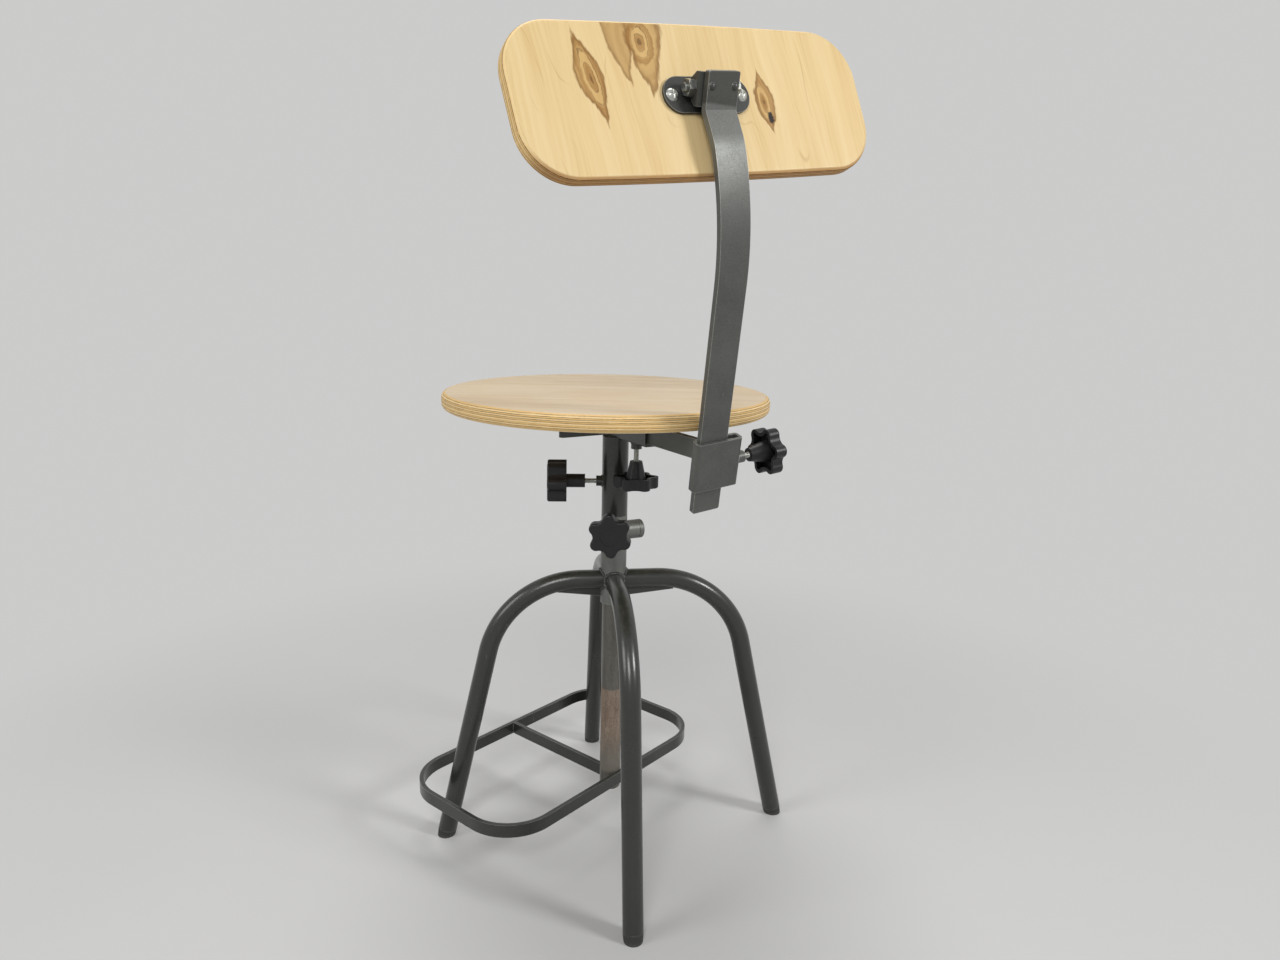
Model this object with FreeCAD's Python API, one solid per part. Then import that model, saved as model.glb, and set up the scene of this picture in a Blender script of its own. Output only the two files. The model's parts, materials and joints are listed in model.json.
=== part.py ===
# Swivel work chair: round plywood seat, swinging plywood backrest, hoop footrest on a sliding spindle.
# Millimetres, Z up, the sitter faces -Y, origin on the floor under the column.
# The seat side lies along the axes; the base and the footrest stand turned under it, as in the photo.
import math
import os

import FreeCAD
import Part

V = FreeCAD.Vector
x_axis = V(1, 0, 0)
y_axis = V(0, 1, 0)
z_axis = V(0, 0, 1)
origin = V(0, 0, 0)
beyond = 1000.0                 # reach of cutting blocks, larger than the chair

# Clearances
running_clearance = 0.05        # radial, tubes and pins that slide or turn in each other
screw_clearance = 0.1           # radial, clamp screws in their bosses
face_gap = 0.3                  # between faces of parts that move past each other
slot_play = 0.5                 # each side of the back bar in its sleeve

# Seat
seat_diameter = 366.0
seat_thickness = 18.0
seat_top = 543.0
seat_forward = 8.0              # seat centre ahead of the column
seat_aside = 8.0                # seat centre beside it, as the seat was screwed on
seat_edge_radius = 6.0
seat_screw_x = 92.0
seat_screw_shank = 5.0
seat_screw_depth = 12.0
seat_screw_head = 10.0
seat_screw_head_height = 2.6

# Seat carrier
cross_bar_length = 225.0
cross_bar_width = 30.0
cross_bar_thickness = 6.0
cross_bar_flange = 5.0
cross_bar_depth = 13.0          # of the flange, from the seat down
cross_bar_corner = 4.0
cross_bar_spacing = 160.0       # between the middles of the two cross bars
depth_bar_width = 8.0
depth_bar_height = 20.0
guide_wall = 3.0
guide_rear = 75.0
depth_bar_front = -50.0
depth_knob_room = 6.0           # between the depth knob and the column

# Column
spindle_outer = 25.0
spindle_wall = 2.5
column_wall = 2.45
spindle_bottom = 57.0
spindle_plug_flange = 4.0
spindle_plug_stub = 12.0
thrust_length = 10.7            # thrust plug under the guide
seat_tube_length = 91.9
hub_length = 106.0
seat_tube_gap = 0.5             # over the hub at the lowest setting
swivel_knob_rise = 39.5         # over the lower end of the seat tube
height_knob_drop = 11.0         # below the top of the hub
brake_drop = 20.0
swivel_knob_angle = -27.0
height_knob_angle = 32.5        # from the base's own X axis
brake_angle = 152.5

# Base
base_turn = 22.5
leg_outer = 22.0
leg_wall = 2.0
leg_rise = 28.0                 # middle of the leg over the hub's lower end
leg_bend_radius = 110.0
leg_splay = 12.7
foot_radius = 210.0
foot_offsets = [0.0, 2.0, 0.0, -10.0]  # each foot past or short of that radius, as the legs are named below
foot_cap_length = 9.0
foot_stub_length = 14.0
foot_taper = 1.5
gusset_reach = 57.0
gusset_thickness = 5.0
gusset_deep = 10.0
gusset_shallow = 3.0

# Footrest
footrest_turn = 19.0
strip_thickness = 5.0
strip_height = 15.0
strip_bottom = 61.5
footrest_half_width = 175.0
footrest_aside = 6.0            # hoop's middle beside the cross strip
footrest_front = 175.0
footrest_corner = 60.0
strip_saddle = 0.6              # how far the rear strip is let into the spindle's outline

# Back bar, its sleeve and its bracket
back_bar_width = 31.0
back_bar_thickness = 6.0
back_lean = 15.4                # lean to the rear
side_lean = 6.17                # lean to the side of the sleeve and all it carries, as in the photo
bar_below_sleeve = 51.6         # along the bar, from the sleeve's middle
bar_straight = 176.0
bar_arc_radius = 263.0
bar_middle_lean = -9.5          # where the wide arc passes into the tight one
bar_neck_radius = 60.0
bar_upper_lean = -22.5
bar_upper_length = 22.0
tab_lean = 16.0
tab_length = 30.0
sleeve_wall = 3.0
screw_side_room = 13.5          # left beside the bar on the side of the clamp screw
sleeve_height = 51.5
sleeve_drop = 11.7              # sleeve's middle below the middle of the depth bar
sleeve_y = 182.7
sleeve_corner = 4.0
bracket_thickness = 3.0
bracket_half_height = 13.5
bracket_margin = 4.5            # bracket's side past the bar's edge
bracket_fold = 4.0
pivot_bolt = 8.0
pivot_hex = 13.0                # across the flats of the bolt's head and nut
pivot_nut_height = 6.0
pivot_head_height = 5.3
pivot_past_nut = 2.5
pivot_lug_radius = 7.5
spacer_wall = 2.5
rivet_spread = 22.6
rivet_rise = 3.0
rivet_shank = 4.5
rivet_head = 7.0
rivet_head_height = 2.0

# Backrest
panel_width = 354.0
panel_height = 136.0
panel_crown = 2.2
panel_corner = 46.0
panel_thickness = 15.0
panel_edge_radius = 4.0
panel_tilt = 20.0
panel_drop = 4.1                # panel's middle below the pivot
panel_aside = 2.5               # panel's middle beside the hinge's
edge_behind_tab = 13.7          # how far the tilted panel's lower edge may stand behind the tab's front
hinge_plate_end = 8.0           # plate past the middle of its screw
hinge_plate_height = 32.0
hinge_plate_drop = 1.9          # plate's middle below the pivot
hinge_plate_thickness = 3.0
hinge_screw_past_bolt = 6.8     # screw's middle past the tip of the pivot bolt
hinge_screw_shank = 5.0
hinge_screw_depth = 10.0
hinge_screw_head = 11.6
hinge_screw_head_height = 3.2
hinge_slot_width = 1.2
hinge_slot_length = 8.0
hinge_slot_depth = 1.3

# Knobs and clamp screws
screw_diameter = 6.0
boss_diameter = 12.0
boss_length = 6.7
boss_root = 3.0                 # boss stock inside the surface, cut to its shape
height_knob_standoff = 6.0      # knob's neck from the end of its boss
swivel_knob_standoff = 12.8
depth_knob_standoff = 14.0
back_knob_standoff = 7.3
back_screw_rise = 1.0           # over the sleeve's middle
swivel_knob_turn = 3.0          # each knob's turn about its own screw, as it was left in the photo
depth_knob_turn = 30.0
back_knob_turn = 7.0
knob_diameter = 50.0
knob_lobe_share = 0.13          # lobe and scallop radii as shares of the diameter
knob_scallop_share = 0.16
knob_lobes = 6
knob_wall = 3.5
knob_rim_radius = 2.2
knob_cone_narrow = 13.6
knob_cone_wide = 25.0
knob_dimple = 22.0
knob_dimple_depth = 0.8
dish_depth = 13.0
dish_neck = 17.0
dish_floor = 4.0
drum_depth = 22.0
drum_neck = 21.0
drum_neck_diameter = 15.6
screw_in_knob = 14.0
brake_diameter = 22.0
brake_boss_length = 13.5
brake_groove = 0.9
brake_head = 5.5
brake_shank = 10.0

# Levels and sizes that follow from the ones above
seat_under = seat_top - seat_thickness
cross_bar_under = seat_under - cross_bar_thickness
guide_height = depth_bar_height + 2 * face_gap + 2 * guide_wall
guide_width = depth_bar_width + 2 * face_gap + 2 * guide_wall
guide_under = cross_bar_under - guide_height
guide_front = -seat_forward - cross_bar_spacing / 2 - cross_bar_width / 2
depth_bar_middle = guide_under + guide_height / 2
depth_bar_under = depth_bar_middle - depth_bar_height / 2
spindle_radius = spindle_outer / 2
spindle_bore = spindle_radius - spindle_wall
column_bore = spindle_radius + running_clearance
column_radius = column_bore + column_wall
seat_tube_bottom = guide_under - seat_tube_length
hub_top = seat_tube_bottom - seat_tube_gap
hub_bottom = hub_top - hub_length
thrust_bottom = guide_under - thrust_length
spindle_top = thrust_bottom - face_gap - spindle_plug_flange
swivel_knob_z = seat_tube_bottom + swivel_knob_rise
height_knob_z = hub_top - height_knob_drop
brake_z = hub_top - brake_drop
depth_knob_y = column_radius + knob_diameter / 2 + depth_knob_room
knob_lobe_radius = knob_diameter * knob_lobe_share
knob_scallop_radius = knob_diameter * knob_scallop_share
leg_z = hub_bottom + leg_rise
sleeve_z = depth_bar_middle - sleeve_drop
sleeve_depth = back_bar_thickness + 2 * slot_play + 2 * sleeve_wall
sleeve_width = back_bar_width + 2 * slot_play + screw_side_room + 2 * sleeve_wall
sleeve_shift = -screw_side_room / 2
bracket_half_width = back_bar_width / 2 + bracket_margin
bolt_reach = bracket_half_width + pivot_nut_height + pivot_past_nut
hinge_screw_spread = 2 * (bolt_reach + hinge_screw_past_bolt)
hinge_plate_length = hinge_screw_spread + 2 * hinge_plate_end
panel_swing = (panel_height / 2 + panel_drop) * math.sin(math.radians(panel_tilt))
pivot_to_bar = max(pivot_lug_radius + bracket_thickness + slot_play, panel_swing - edge_behind_tab)
screw_radius = screw_diameter / 2
pivot_radius = pivot_bolt / 2


def cylinder(radius, start, end):
    axis = end - start
    return Part.makeCylinder(radius, axis.Length, start, axis)


def tube(outer, inner, start, end):
    return cylinder(outer, start, end).cut(cylinder(inner, start, end))


def block(low, high):
    return Part.makeBox(high.x - low.x, high.y - low.y, high.z - low.z, low)


def prism(points, along):
    return Part.Face(Part.makePolygon(points + [points[0]])).extrude(along)


def turned(shape, angle, axis=z_axis, about=origin):
    copy = shape.copy()
    copy.rotate(about, axis, angle)
    return copy


def moved(shape, offset):
    copy = shape.copy()
    copy.translate(offset)
    return copy


def outward(angle):
    return V(math.cos(math.radians(angle)), math.sin(math.radians(angle)), 0)


def aimed(shape, start, direction):
    # Carries a shape built along +Z from the origin to a start point and direction.
    copy = shape.copy()
    copy.Placement = FreeCAD.Placement(start, FreeCAD.Rotation(z_axis, direction)).multiply(shape.Placement)
    return copy


def edges_along(shape, direction):
    found = []
    for edge in shape.Edges:
        if isinstance(edge.Curve, Part.Line) and abs(edge.Curve.Direction.dot(direction)) > 0.999:
            found.append(edge)
    return found


def edges_at(shape, axis, level):
    # Edges that lie wholly at one level along an axis.
    found = []
    for edge in shape.Edges:
        box = edge.BoundBox
        low = V(box.XMin, box.YMin, box.ZMin).dot(axis)
        high = V(box.XMax, box.YMax, box.ZMax).dot(axis)
        if abs(low - level) < 0.01 and abs(high - level) < 0.01:
            found.append(edge)
    return found


def save(name, *shapes):
    shape = shapes[0] if len(shapes) == 1 else Part.makeCompound(list(shapes))
    shape.exportStep("parts/" + name + ".step")


def rod(radius, length, chamfer):
    shape = Part.makeCylinder(radius, length)
    return shape.makeChamfer(chamfer, edges_at(shape, z_axis, 0.0))


def hexagon(across_flats, height):
    corner = across_flats / math.sqrt(3)
    points = [outward(60 * k + 30) * corner for k in range(6)]
    return prism(points, V(0, 0, height))


def star_face(inset):
    # Outline of a knob: round lobes joined to round scallops that share their tangents.
    lobe = knob_lobe_radius - inset
    scallop = knob_scallop_radius + inset
    lobe_centre = knob_diameter / 2 - knob_lobe_radius
    half_step = math.pi / knob_lobes
    reach = knob_lobe_radius + knob_scallop_radius
    side = lobe_centre * math.sin(half_step)
    scallop_centre = lobe_centre * math.cos(half_step) + math.sqrt(reach ** 2 - side ** 2)
    edges = []
    for k in range(knob_lobes):
        angle = 360.0 / knob_lobes * k
        lobe_middle = outward(angle) * lobe_centre
        before = outward(angle - 180.0 / knob_lobes) * scallop_centre
        after = outward(angle + 180.0 / knob_lobes) * scallop_centre
        following = outward(angle + 360.0 / knob_lobes) * lobe_centre
        start = lobe_middle + (before - lobe_middle) * (lobe / reach)
        end = lobe_middle + (after - lobe_middle) * (lobe / reach)
        leave = following + (after - following) * (lobe / reach)
        tip = outward(angle) * (lobe_centre + lobe)
        dip = outward(angle + 180.0 / knob_lobes) * (scallop_centre - scallop)
        edges.append(Part.Arc(start, tip, end).toShape())
        edges.append(Part.Arc(end, dip, leave).toShape())
    return Part.Face(Part.Wire(edges))


def dish_knob():
    # Star knob with a hollow back and a conical neck; starts at the neck's end, along +Z.
    top = dish_neck + dish_depth
    body = moved(star_face(0).extrude(V(0, 0, dish_depth)), V(0, 0, dish_neck))
    body = body.makeFillet(knob_rim_radius, edges_at(body, z_axis, top))
    hollow = moved(star_face(knob_wall).extrude(V(0, 0, dish_depth - dish_floor)), V(0, 0, dish_neck))
    cone = Part.makeCone(knob_cone_narrow / 2, knob_cone_wide / 2, top - dish_floor)
    dimple = Part.makeCylinder(knob_dimple / 2, knob_dimple_depth, V(0, 0, top - knob_dimple_depth))
    bore = Part.makeCylinder(screw_radius, screw_in_knob)
    return body.cut(hollow).fuse(cone).cut(dimple).cut(bore).removeSplitter()


def drum_knob():
    # Deeper star knob with a straight neck; starts at the neck's end, along +Z.
    top = drum_neck + drum_depth
    body = moved(star_face(0).extrude(V(0, 0, drum_depth)), V(0, 0, drum_neck))
    body = body.makeFillet(knob_rim_radius, edges_at(body, z_axis, top))
    neck = Part.makeCylinder(drum_neck_diameter / 2, drum_neck)
    dimple = Part.makeCylinder(knob_dimple / 2, knob_dimple_depth, V(0, 0, top - knob_dimple_depth))
    bore = Part.makeCylinder(screw_radius, screw_in_knob)
    return body.fuse(neck).cut(dimple).cut(bore).removeSplitter()


def clamp_boss(surface, direction, cut_back):
    # Short boss on a surface point; cut_back is taken off it so that it sits on the wall.
    start = surface - direction * boss_root
    end = surface + direction * boss_length
    boss = cylinder(boss_diameter / 2, start, end).cut(cut_back)
    return boss.cut(cylinder(screw_radius + screw_clearance, start - direction, end + direction))


def clamp_hole(surface, direction, depth):
    return cylinder(screw_radius + screw_clearance, surface - direction * depth, surface + direction)


def as_built(shape):
    return shape


def save_knob(name, knob, tip, neck_start, direction, placed=as_built):
    # The knob sits with its neck at neck_start; its screw runs from the tip into the knob's bore.
    length = (neck_start - tip).dot(direction) + screw_in_knob
    save(name + "_knob", placed(aimed(knob, neck_start, direction)))
    save(name + "_screw", placed(aimed(rod(screw_radius, length, 0.8), tip, direction)))


def domed_pin(shank, length, head, height):
    # Domed head on the XY plane, facing +Z, with its shank below.
    ball = ((head / 2) ** 2 + height ** 2) / (2 * height)
    cap = Part.makeSphere(ball, V(0, 0, height - ball))
    cap = cap.common(Part.makeCylinder(head, height))
    return cap.fuse(Part.makeCylinder(shank / 2, length, V(0, 0, -length))).removeSplitter()


os.makedirs("parts", exist_ok=True)

# Base: hub, legs, strips under the legs and foot plugs, built on the base's own axes and then turned
hub_low = V(0, 0, hub_bottom)
hub_high = V(0, 0, hub_top)
column_solid = cylinder(column_radius, V(0, 0, 0), V(0, 0, seat_top))
height_aim = outward(height_knob_angle)
brake_aim = outward(brake_angle)
height_surface = height_aim * column_radius + V(0, 0, height_knob_z)
brake_surface = brake_aim * column_radius + V(0, 0, brake_z)
brake_end = brake_surface + brake_aim * brake_boss_length
hub = tube(column_radius, column_bore, hub_low, hub_high)
hub = hub.cut(clamp_hole(height_surface, height_aim, column_radius / 2))
brake_root = brake_surface - brake_aim * (column_radius / 2)
brake_hole = cylinder(brake_shank / 2, brake_root, brake_end + brake_aim)
hub = hub.cut(brake_hole)

splay = math.radians(leg_splay)
leg_radius = leg_outer / 2
tangent_length = leg_bend_radius * math.tan((math.pi / 2 - splay) / 2)
down_leg = V(math.sin(splay), 0, -math.cos(splay))
bend_half = (math.pi / 2 + splay) / 2
quarter = prism([V(0, 0, 0), V(beyond, -beyond, 0), V(beyond, beyond, 0)], V(0, 0, seat_top))


def leg_end_at(reach):
    return V(reach, 0, 0) - down_leg * foot_cap_length


def along_leg(radius, reach):
    # Solid rod along the middle of a leg whose foot stands at this reach from the column's axis.
    bend_start = V(reach - leg_z * math.tan(splay) - tangent_length, 0, leg_z)
    bend_centre = bend_start - V(0, 0, leg_bend_radius)
    bend_end = bend_centre + V(math.cos(splay), 0, math.sin(splay)) * leg_bend_radius
    bend_middle = bend_centre + V(math.cos(bend_half), 0, math.sin(bend_half)) * leg_bend_radius
    path = Part.Wire([
        Part.makeLine(V(0, 0, leg_z), bend_start),
        Part.Arc(bend_start, bend_middle, bend_end).toShape(),
        Part.makeLine(bend_end, leg_end_at(reach)),
    ])
    ring = Part.Wire(Part.makeCircle(radius, V(0, 0, leg_z), x_axis))
    return path.makePipeShell([ring], True, True)


def leg_tube(reach):
    wall = along_leg(leg_radius, reach).cut(along_leg(leg_radius - leg_wall, reach))
    return wall.cut(column_solid).common(quarter)


def foot_plug(reach):
    leg_end = leg_end_at(reach)
    stub = cylinder(leg_radius - leg_wall, leg_end - down_leg * foot_stub_length, leg_end)
    cap = Part.makeCone(leg_radius, leg_radius - foot_taper, 2 * foot_cap_length, leg_end, down_leg)
    return stub.fuse(cap.cut(floor)).removeSplitter()


floor = block(V(-beyond, -beyond, -beyond), V(beyond, beyond, 0))
gusset_end = column_radius + gusset_reach
gusset = prism([
    V(column_radius / 2, -gusset_thickness / 2, leg_z),
    V(gusset_end, -gusset_thickness / 2, leg_z - leg_radius / 2),
    V(gusset_end, -gusset_thickness / 2, leg_z - leg_radius - gusset_shallow),
    V(column_radius / 2, -gusset_thickness / 2, leg_z - leg_radius - gusset_deep),
], V(0, gusset_thickness, 0)).cut(column_solid)

save("hub_tube", turned(hub, base_turn))
leg_names = ["leg_rear_left", "leg_rear_right", "leg_front_right", "leg_front_left"]
leg_angles = [base_turn + 45 + 90 * k for k in range(4)]
foot_reaches = [foot_radius + offset for offset in foot_offsets]
gussets = []
foot_plugs = []
for name, angle, reach in zip(leg_names, leg_angles, foot_reaches):
    save(name, turned(leg_tube(reach), angle))
    gussets.append(turned(gusset.cut(along_leg(leg_radius, reach)), angle))
    foot_plugs.append(turned(foot_plug(reach), angle))
save("leg_gussets", *gussets)
save("foot_plugs", *foot_plugs)
save("height_boss", turned(clamp_boss(height_surface, height_aim, column_solid), base_turn))

brake_stock = cylinder(brake_diameter / 2, brake_root, brake_end)
brake_boss = brake_stock.cut(column_solid).cut(brake_hole)
brake_head_start = brake_end + brake_aim * brake_groove
brake_cap = Part.makeCylinder(brake_diameter / 2, brake_head)
brake_cap = brake_cap.makeFillet(1.5, edges_at(brake_cap, z_axis, brake_head))
brake_cap = aimed(brake_cap, brake_head_start, brake_aim)
brake_tip = brake_aim * (spindle_radius / 2) + V(0, 0, brake_z)
brake_plug = cylinder(brake_shank / 2, brake_tip, brake_head_start).fuse(brake_cap).removeSplitter()
spindle_room = cylinder(spindle_radius + face_gap, V(0, 0, 0), V(0, 0, seat_top))
save("brake_boss", turned(brake_boss, base_turn))
save("brake_plug", turned(brake_plug.cut(spindle_room), base_turn))

# Height knob on the hub
height_aim_turned = outward(height_knob_angle + base_turn)
height_axis_point = V(0, 0, height_knob_z)
save_knob(
    "height",
    dish_knob(),
    height_axis_point + height_aim_turned * (spindle_radius + face_gap),
    height_axis_point + height_aim_turned * (column_radius + boss_length + height_knob_standoff),
    height_aim_turned,
)

# Spindle with the hoop footrest
spindle_low = V(0, 0, spindle_bottom)
spindle_high = V(0, 0, spindle_top)
spindle_solid = cylinder(spindle_radius, spindle_low, spindle_high)
spindle = tube(spindle_radius, spindle_bore, spindle_low, spindle_high)
top_flange = cylinder(spindle_radius, spindle_high, spindle_high + V(0, 0, spindle_plug_flange))
top_stub = cylinder(spindle_bore, spindle_high - V(0, 0, spindle_plug_stub), spindle_high)
end_flange = cylinder(spindle_radius, spindle_low - V(0, 0, spindle_plug_flange), spindle_low)
end_stub = cylinder(spindle_bore, spindle_low, spindle_low + V(0, 0, spindle_plug_stub))
end_plug = end_flange.makeFillet(1.5, edges_at(end_flange, z_axis, spindle_bottom - spindle_plug_flange))
save("spindle_tube", spindle)
save("spindle_top_plug", top_flange.fuse(top_stub).removeSplitter())
save("spindle_end_plug", end_plug.fuse(end_stub).removeSplitter())

hoop_rear = spindle_radius - strip_saddle + strip_thickness
hoop_half = footrest_half_width + strip_thickness / 2
hoop_front = -footrest_front - strip_thickness / 2
strip_top = strip_bottom + strip_height


def rounded_block(inset):
    shape = block(
        V(footrest_aside - hoop_half + inset, hoop_front + inset, strip_bottom),
        V(footrest_aside + hoop_half - inset, hoop_rear - inset, strip_top),
    )
    return shape.makeFillet(footrest_corner - inset, edges_along(shape, z_axis))


hoop = rounded_block(0).cut(rounded_block(strip_thickness)).cut(spindle_solid)
cross_strip = block(
    V(-strip_thickness / 2, hoop_front + strip_thickness, strip_bottom),
    V(strip_thickness / 2, 0, strip_top),
).cut(spindle_solid)
save("footrest_hoop", turned(hoop, footrest_turn))
save("footrest_cross_strip", turned(cross_strip, footrest_turn))

# Seat carrier: seat tube on the spindle, guide of the depth bar, angle cross bars notched over it, seat
seat_tube_low = V(0, 0, seat_tube_bottom)
seat_tube_high = V(0, 0, guide_under)
swivel_aim = outward(swivel_knob_angle)
swivel_axis_point = V(0, 0, swivel_knob_z)
swivel_surface = swivel_aim * column_radius + swivel_axis_point
seat_tube = tube(column_radius, column_bore, seat_tube_low, seat_tube_high)
save("seat_tube", seat_tube.cut(clamp_hole(swivel_surface, swivel_aim, column_radius / 2)))
save("thrust_plug", cylinder(column_bore, V(0, 0, thrust_bottom), seat_tube_high))
save("swivel_boss", clamp_boss(swivel_surface, swivel_aim, column_solid))
save_knob(
    "swivel",
    turned(drum_knob(), swivel_knob_turn),
    swivel_axis_point + swivel_aim * (spindle_radius + face_gap),
    swivel_axis_point + swivel_aim * (column_radius + boss_length + swivel_knob_standoff),
    swivel_aim,
)

guide_low = V(-guide_width / 2, guide_front, guide_under)
guide = block(guide_low, V(guide_width / 2, guide_rear, cross_bar_under))
guide = guide.makeFillet(1.5, edges_along(guide, y_axis))
guide_slot = block(
    V(-guide_width / 2 + guide_wall, guide_front - 1, guide_under + guide_wall),
    V(guide_width / 2 - guide_wall, guide_rear + 1, cross_bar_under - guide_wall),
)
depth_surface = V(0, depth_knob_y, guide_under)
depth_aim = -z_axis
save("depth_guide", guide.cut(guide_slot).cut(clamp_hole(depth_surface, depth_aim, guide_wall + 1)))
save("depth_boss", clamp_boss(depth_surface, depth_aim, guide))
save_knob(
    "depth",
    turned(dish_knob(), depth_knob_turn),
    V(0, depth_knob_y, depth_bar_under - face_gap),
    depth_surface + depth_aim * (boss_length + depth_knob_standoff),
    depth_aim,
)

seat_centre = V(seat_aside, -seat_forward, 0)
seat = Part.makeCylinder(seat_diameter / 2, seat_thickness, seat_centre + V(0, 0, seat_under))
seat_rims = edges_at(seat, z_axis, seat_under) + edges_at(seat, z_axis, seat_top)
seat = seat.makeFillet(seat_edge_radius, seat_rims)
notch_half = guide_width / 2 + face_gap
bar_notch = block(V(-notch_half, -beyond, 0), V(notch_half, beyond, cross_bar_under))
seat_screws = []
for name, side in (("cross_bar_front", -1), ("cross_bar_rear", 1)):
    bar_y = -seat_forward + side * cross_bar_spacing / 2
    bar = block(
        V(-cross_bar_length / 2, bar_y - cross_bar_width / 2, seat_under - cross_bar_depth),
        V(cross_bar_length / 2, bar_y + cross_bar_width / 2, seat_under),
    )
    bar = bar.makeFillet(cross_bar_corner, edges_along(bar, z_axis))
    under_bar = block(V(-beyond, bar_y - beyond, 0), V(beyond, bar_y + beyond, cross_bar_under))
    under_bar = moved(under_bar, V(0, -side * (beyond - cross_bar_width / 2 + cross_bar_flange), 0))
    bar = bar.cut(under_bar).cut(bar_notch)
    for screw_x in (-seat_screw_x, seat_screw_x):
        reach = cross_bar_thickness + seat_screw_depth
        screw = domed_pin(seat_screw_shank, reach, seat_screw_head, seat_screw_head_height)
        screw = aimed(screw, V(screw_x, bar_y, cross_bar_under), -z_axis)
        seat_screws.append(screw)
        bar = bar.cut(screw)
        seat = seat.cut(screw)
    save(name, bar)
save("seat_screws", *seat_screws)
save("seat_panel", seat)

# Depth bar with the sleeve of the back bar; the sleeve leans to the rear and to the side with the bar
sleeve_middle = V(0, sleeve_y, sleeve_z)


def up_along(lean):
    return V(0, math.sin(math.radians(lean)), math.cos(math.radians(lean)))


def ahead_of(lean):
    return V(0, -math.cos(math.radians(lean)), math.sin(math.radians(lean)))


def leaned_back(shape):
    return moved(turned(shape, -back_lean, x_axis), sleeve_middle)


def leaned_aside(shape):
    return turned(shape, side_lean, -ahead_of(back_lean), sleeve_middle)


sleeve_low = V(sleeve_shift - sleeve_width / 2, -sleeve_depth / 2, -sleeve_height / 2)
sleeve_high = V(sleeve_shift + sleeve_width / 2, sleeve_depth / 2, sleeve_height / 2)
sleeve_walls = V(sleeve_wall, sleeve_wall, -sleeve_height)
sleeve = block(sleeve_low, sleeve_high)
sleeve = sleeve.makeFillet(sleeve_corner, edges_along(sleeve, z_axis))
sleeve_slot = block(sleeve_low + sleeve_walls, sleeve_high - sleeve_walls)
sleeve_slot = sleeve_slot.makeFillet(sleeve_corner / 3, edges_along(sleeve_slot, z_axis))
back_aim = -x_axis
back_surface = V(sleeve_low.x, 0, back_screw_rise)
back_tip = V(-back_bar_width / 2 - face_gap, 0, back_screw_rise)
sleeve_holed = sleeve.cut(sleeve_slot).cut(clamp_hole(back_surface, back_aim, sleeve_wall + 1))
behind_sleeve_face = block(V(-beyond, -sleeve_depth / 2, -beyond), V(beyond, beyond, beyond))
depth_bar = block(
    V(-depth_bar_width / 2, depth_bar_front, depth_bar_under),
    V(depth_bar_width / 2, sleeve_y + sleeve_height, depth_bar_under + depth_bar_height),
).cut(leaned_back(behind_sleeve_face))
save("depth_bar", depth_bar)
save("bar_sleeve", leaned_aside(leaned_back(sleeve_holed)))
save("sleeve_boss", leaned_aside(leaned_back(clamp_boss(back_surface, back_aim, sleeve))))


def on_sleeve(shape):
    return leaned_aside(leaned_back(shape))


save_knob(
    "back",
    turned(dish_knob(), back_knob_turn),
    back_tip,
    back_surface + back_aim * (boss_length + back_knob_standoff),
    back_aim,
    on_sleeve,
)

# Back bar: profile in the YZ plane from its lower end up; angles are leans to the rear
rear_at_sleeve = sleeve_middle - ahead_of(back_lean) * (back_bar_thickness / 2)
rear_foot = rear_at_sleeve - up_along(back_lean) * bar_below_sleeve
rear_arc_start = rear_at_sleeve + up_along(back_lean) * bar_straight
arc_centre = rear_arc_start + ahead_of(back_lean) * bar_arc_radius
arc_half_lean = (back_lean + bar_middle_lean) / 2
rear_arc_middle = arc_centre - ahead_of(arc_half_lean) * bar_arc_radius
rear_arc_end = arc_centre - ahead_of(bar_middle_lean) * bar_arc_radius
neck_centre = rear_arc_end + ahead_of(bar_middle_lean) * bar_neck_radius
neck_half_lean = (bar_middle_lean + bar_upper_lean) / 2
rear_neck_middle = neck_centre - ahead_of(neck_half_lean) * bar_neck_radius
rear_neck_end = neck_centre - ahead_of(bar_upper_lean) * bar_neck_radius
rear_bend = rear_neck_end + up_along(bar_upper_lean) * bar_upper_length
rear_top = rear_bend + up_along(tab_lean) * tab_length
inner_radius = bar_arc_radius - back_bar_thickness
inner_neck_radius = bar_neck_radius - back_bar_thickness
mitre = ahead_of(bar_upper_lean) + ahead_of(tab_lean)
mitre = mitre * (back_bar_thickness / (1 + ahead_of(bar_upper_lean).dot(ahead_of(tab_lean))))
front_foot = rear_foot + ahead_of(back_lean) * back_bar_thickness
front_arc_start = rear_arc_start + ahead_of(back_lean) * back_bar_thickness
front_arc_middle = arc_centre - ahead_of(arc_half_lean) * inner_radius
front_arc_end = rear_arc_end + ahead_of(bar_middle_lean) * back_bar_thickness
front_neck_middle = neck_centre - ahead_of(neck_half_lean) * inner_neck_radius
front_neck_end = rear_neck_end + ahead_of(bar_upper_lean) * back_bar_thickness
front_bend = rear_bend + mitre
front_top = rear_top + ahead_of(tab_lean) * back_bar_thickness
bar_outline = Part.Wire([
    Part.makeLine(rear_foot, rear_arc_start),
    Part.Arc(rear_arc_start, rear_arc_middle, rear_arc_end).toShape(),
    Part.Arc(rear_arc_end, rear_neck_middle, rear_neck_end).toShape(),
    Part.makeLine(rear_neck_end, rear_bend),
    Part.makeLine(rear_bend, rear_top),
    Part.makeLine(rear_top, front_top),
    Part.makeLine(front_top, front_bend),
    Part.makeLine(front_bend, front_neck_end),
    Part.Arc(front_neck_end, front_neck_middle, front_arc_end).toShape(),
    Part.Arc(front_arc_end, front_arc_middle, front_arc_start).toShape(),
    Part.makeLine(front_arc_start, front_foot),
    Part.makeLine(front_foot, rear_foot),
])
back_bar = Part.Face(bar_outline).extrude(V(back_bar_width, 0, 0))
back_bar = moved(back_bar, V(-back_bar_width / 2, 0, 0))
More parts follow.
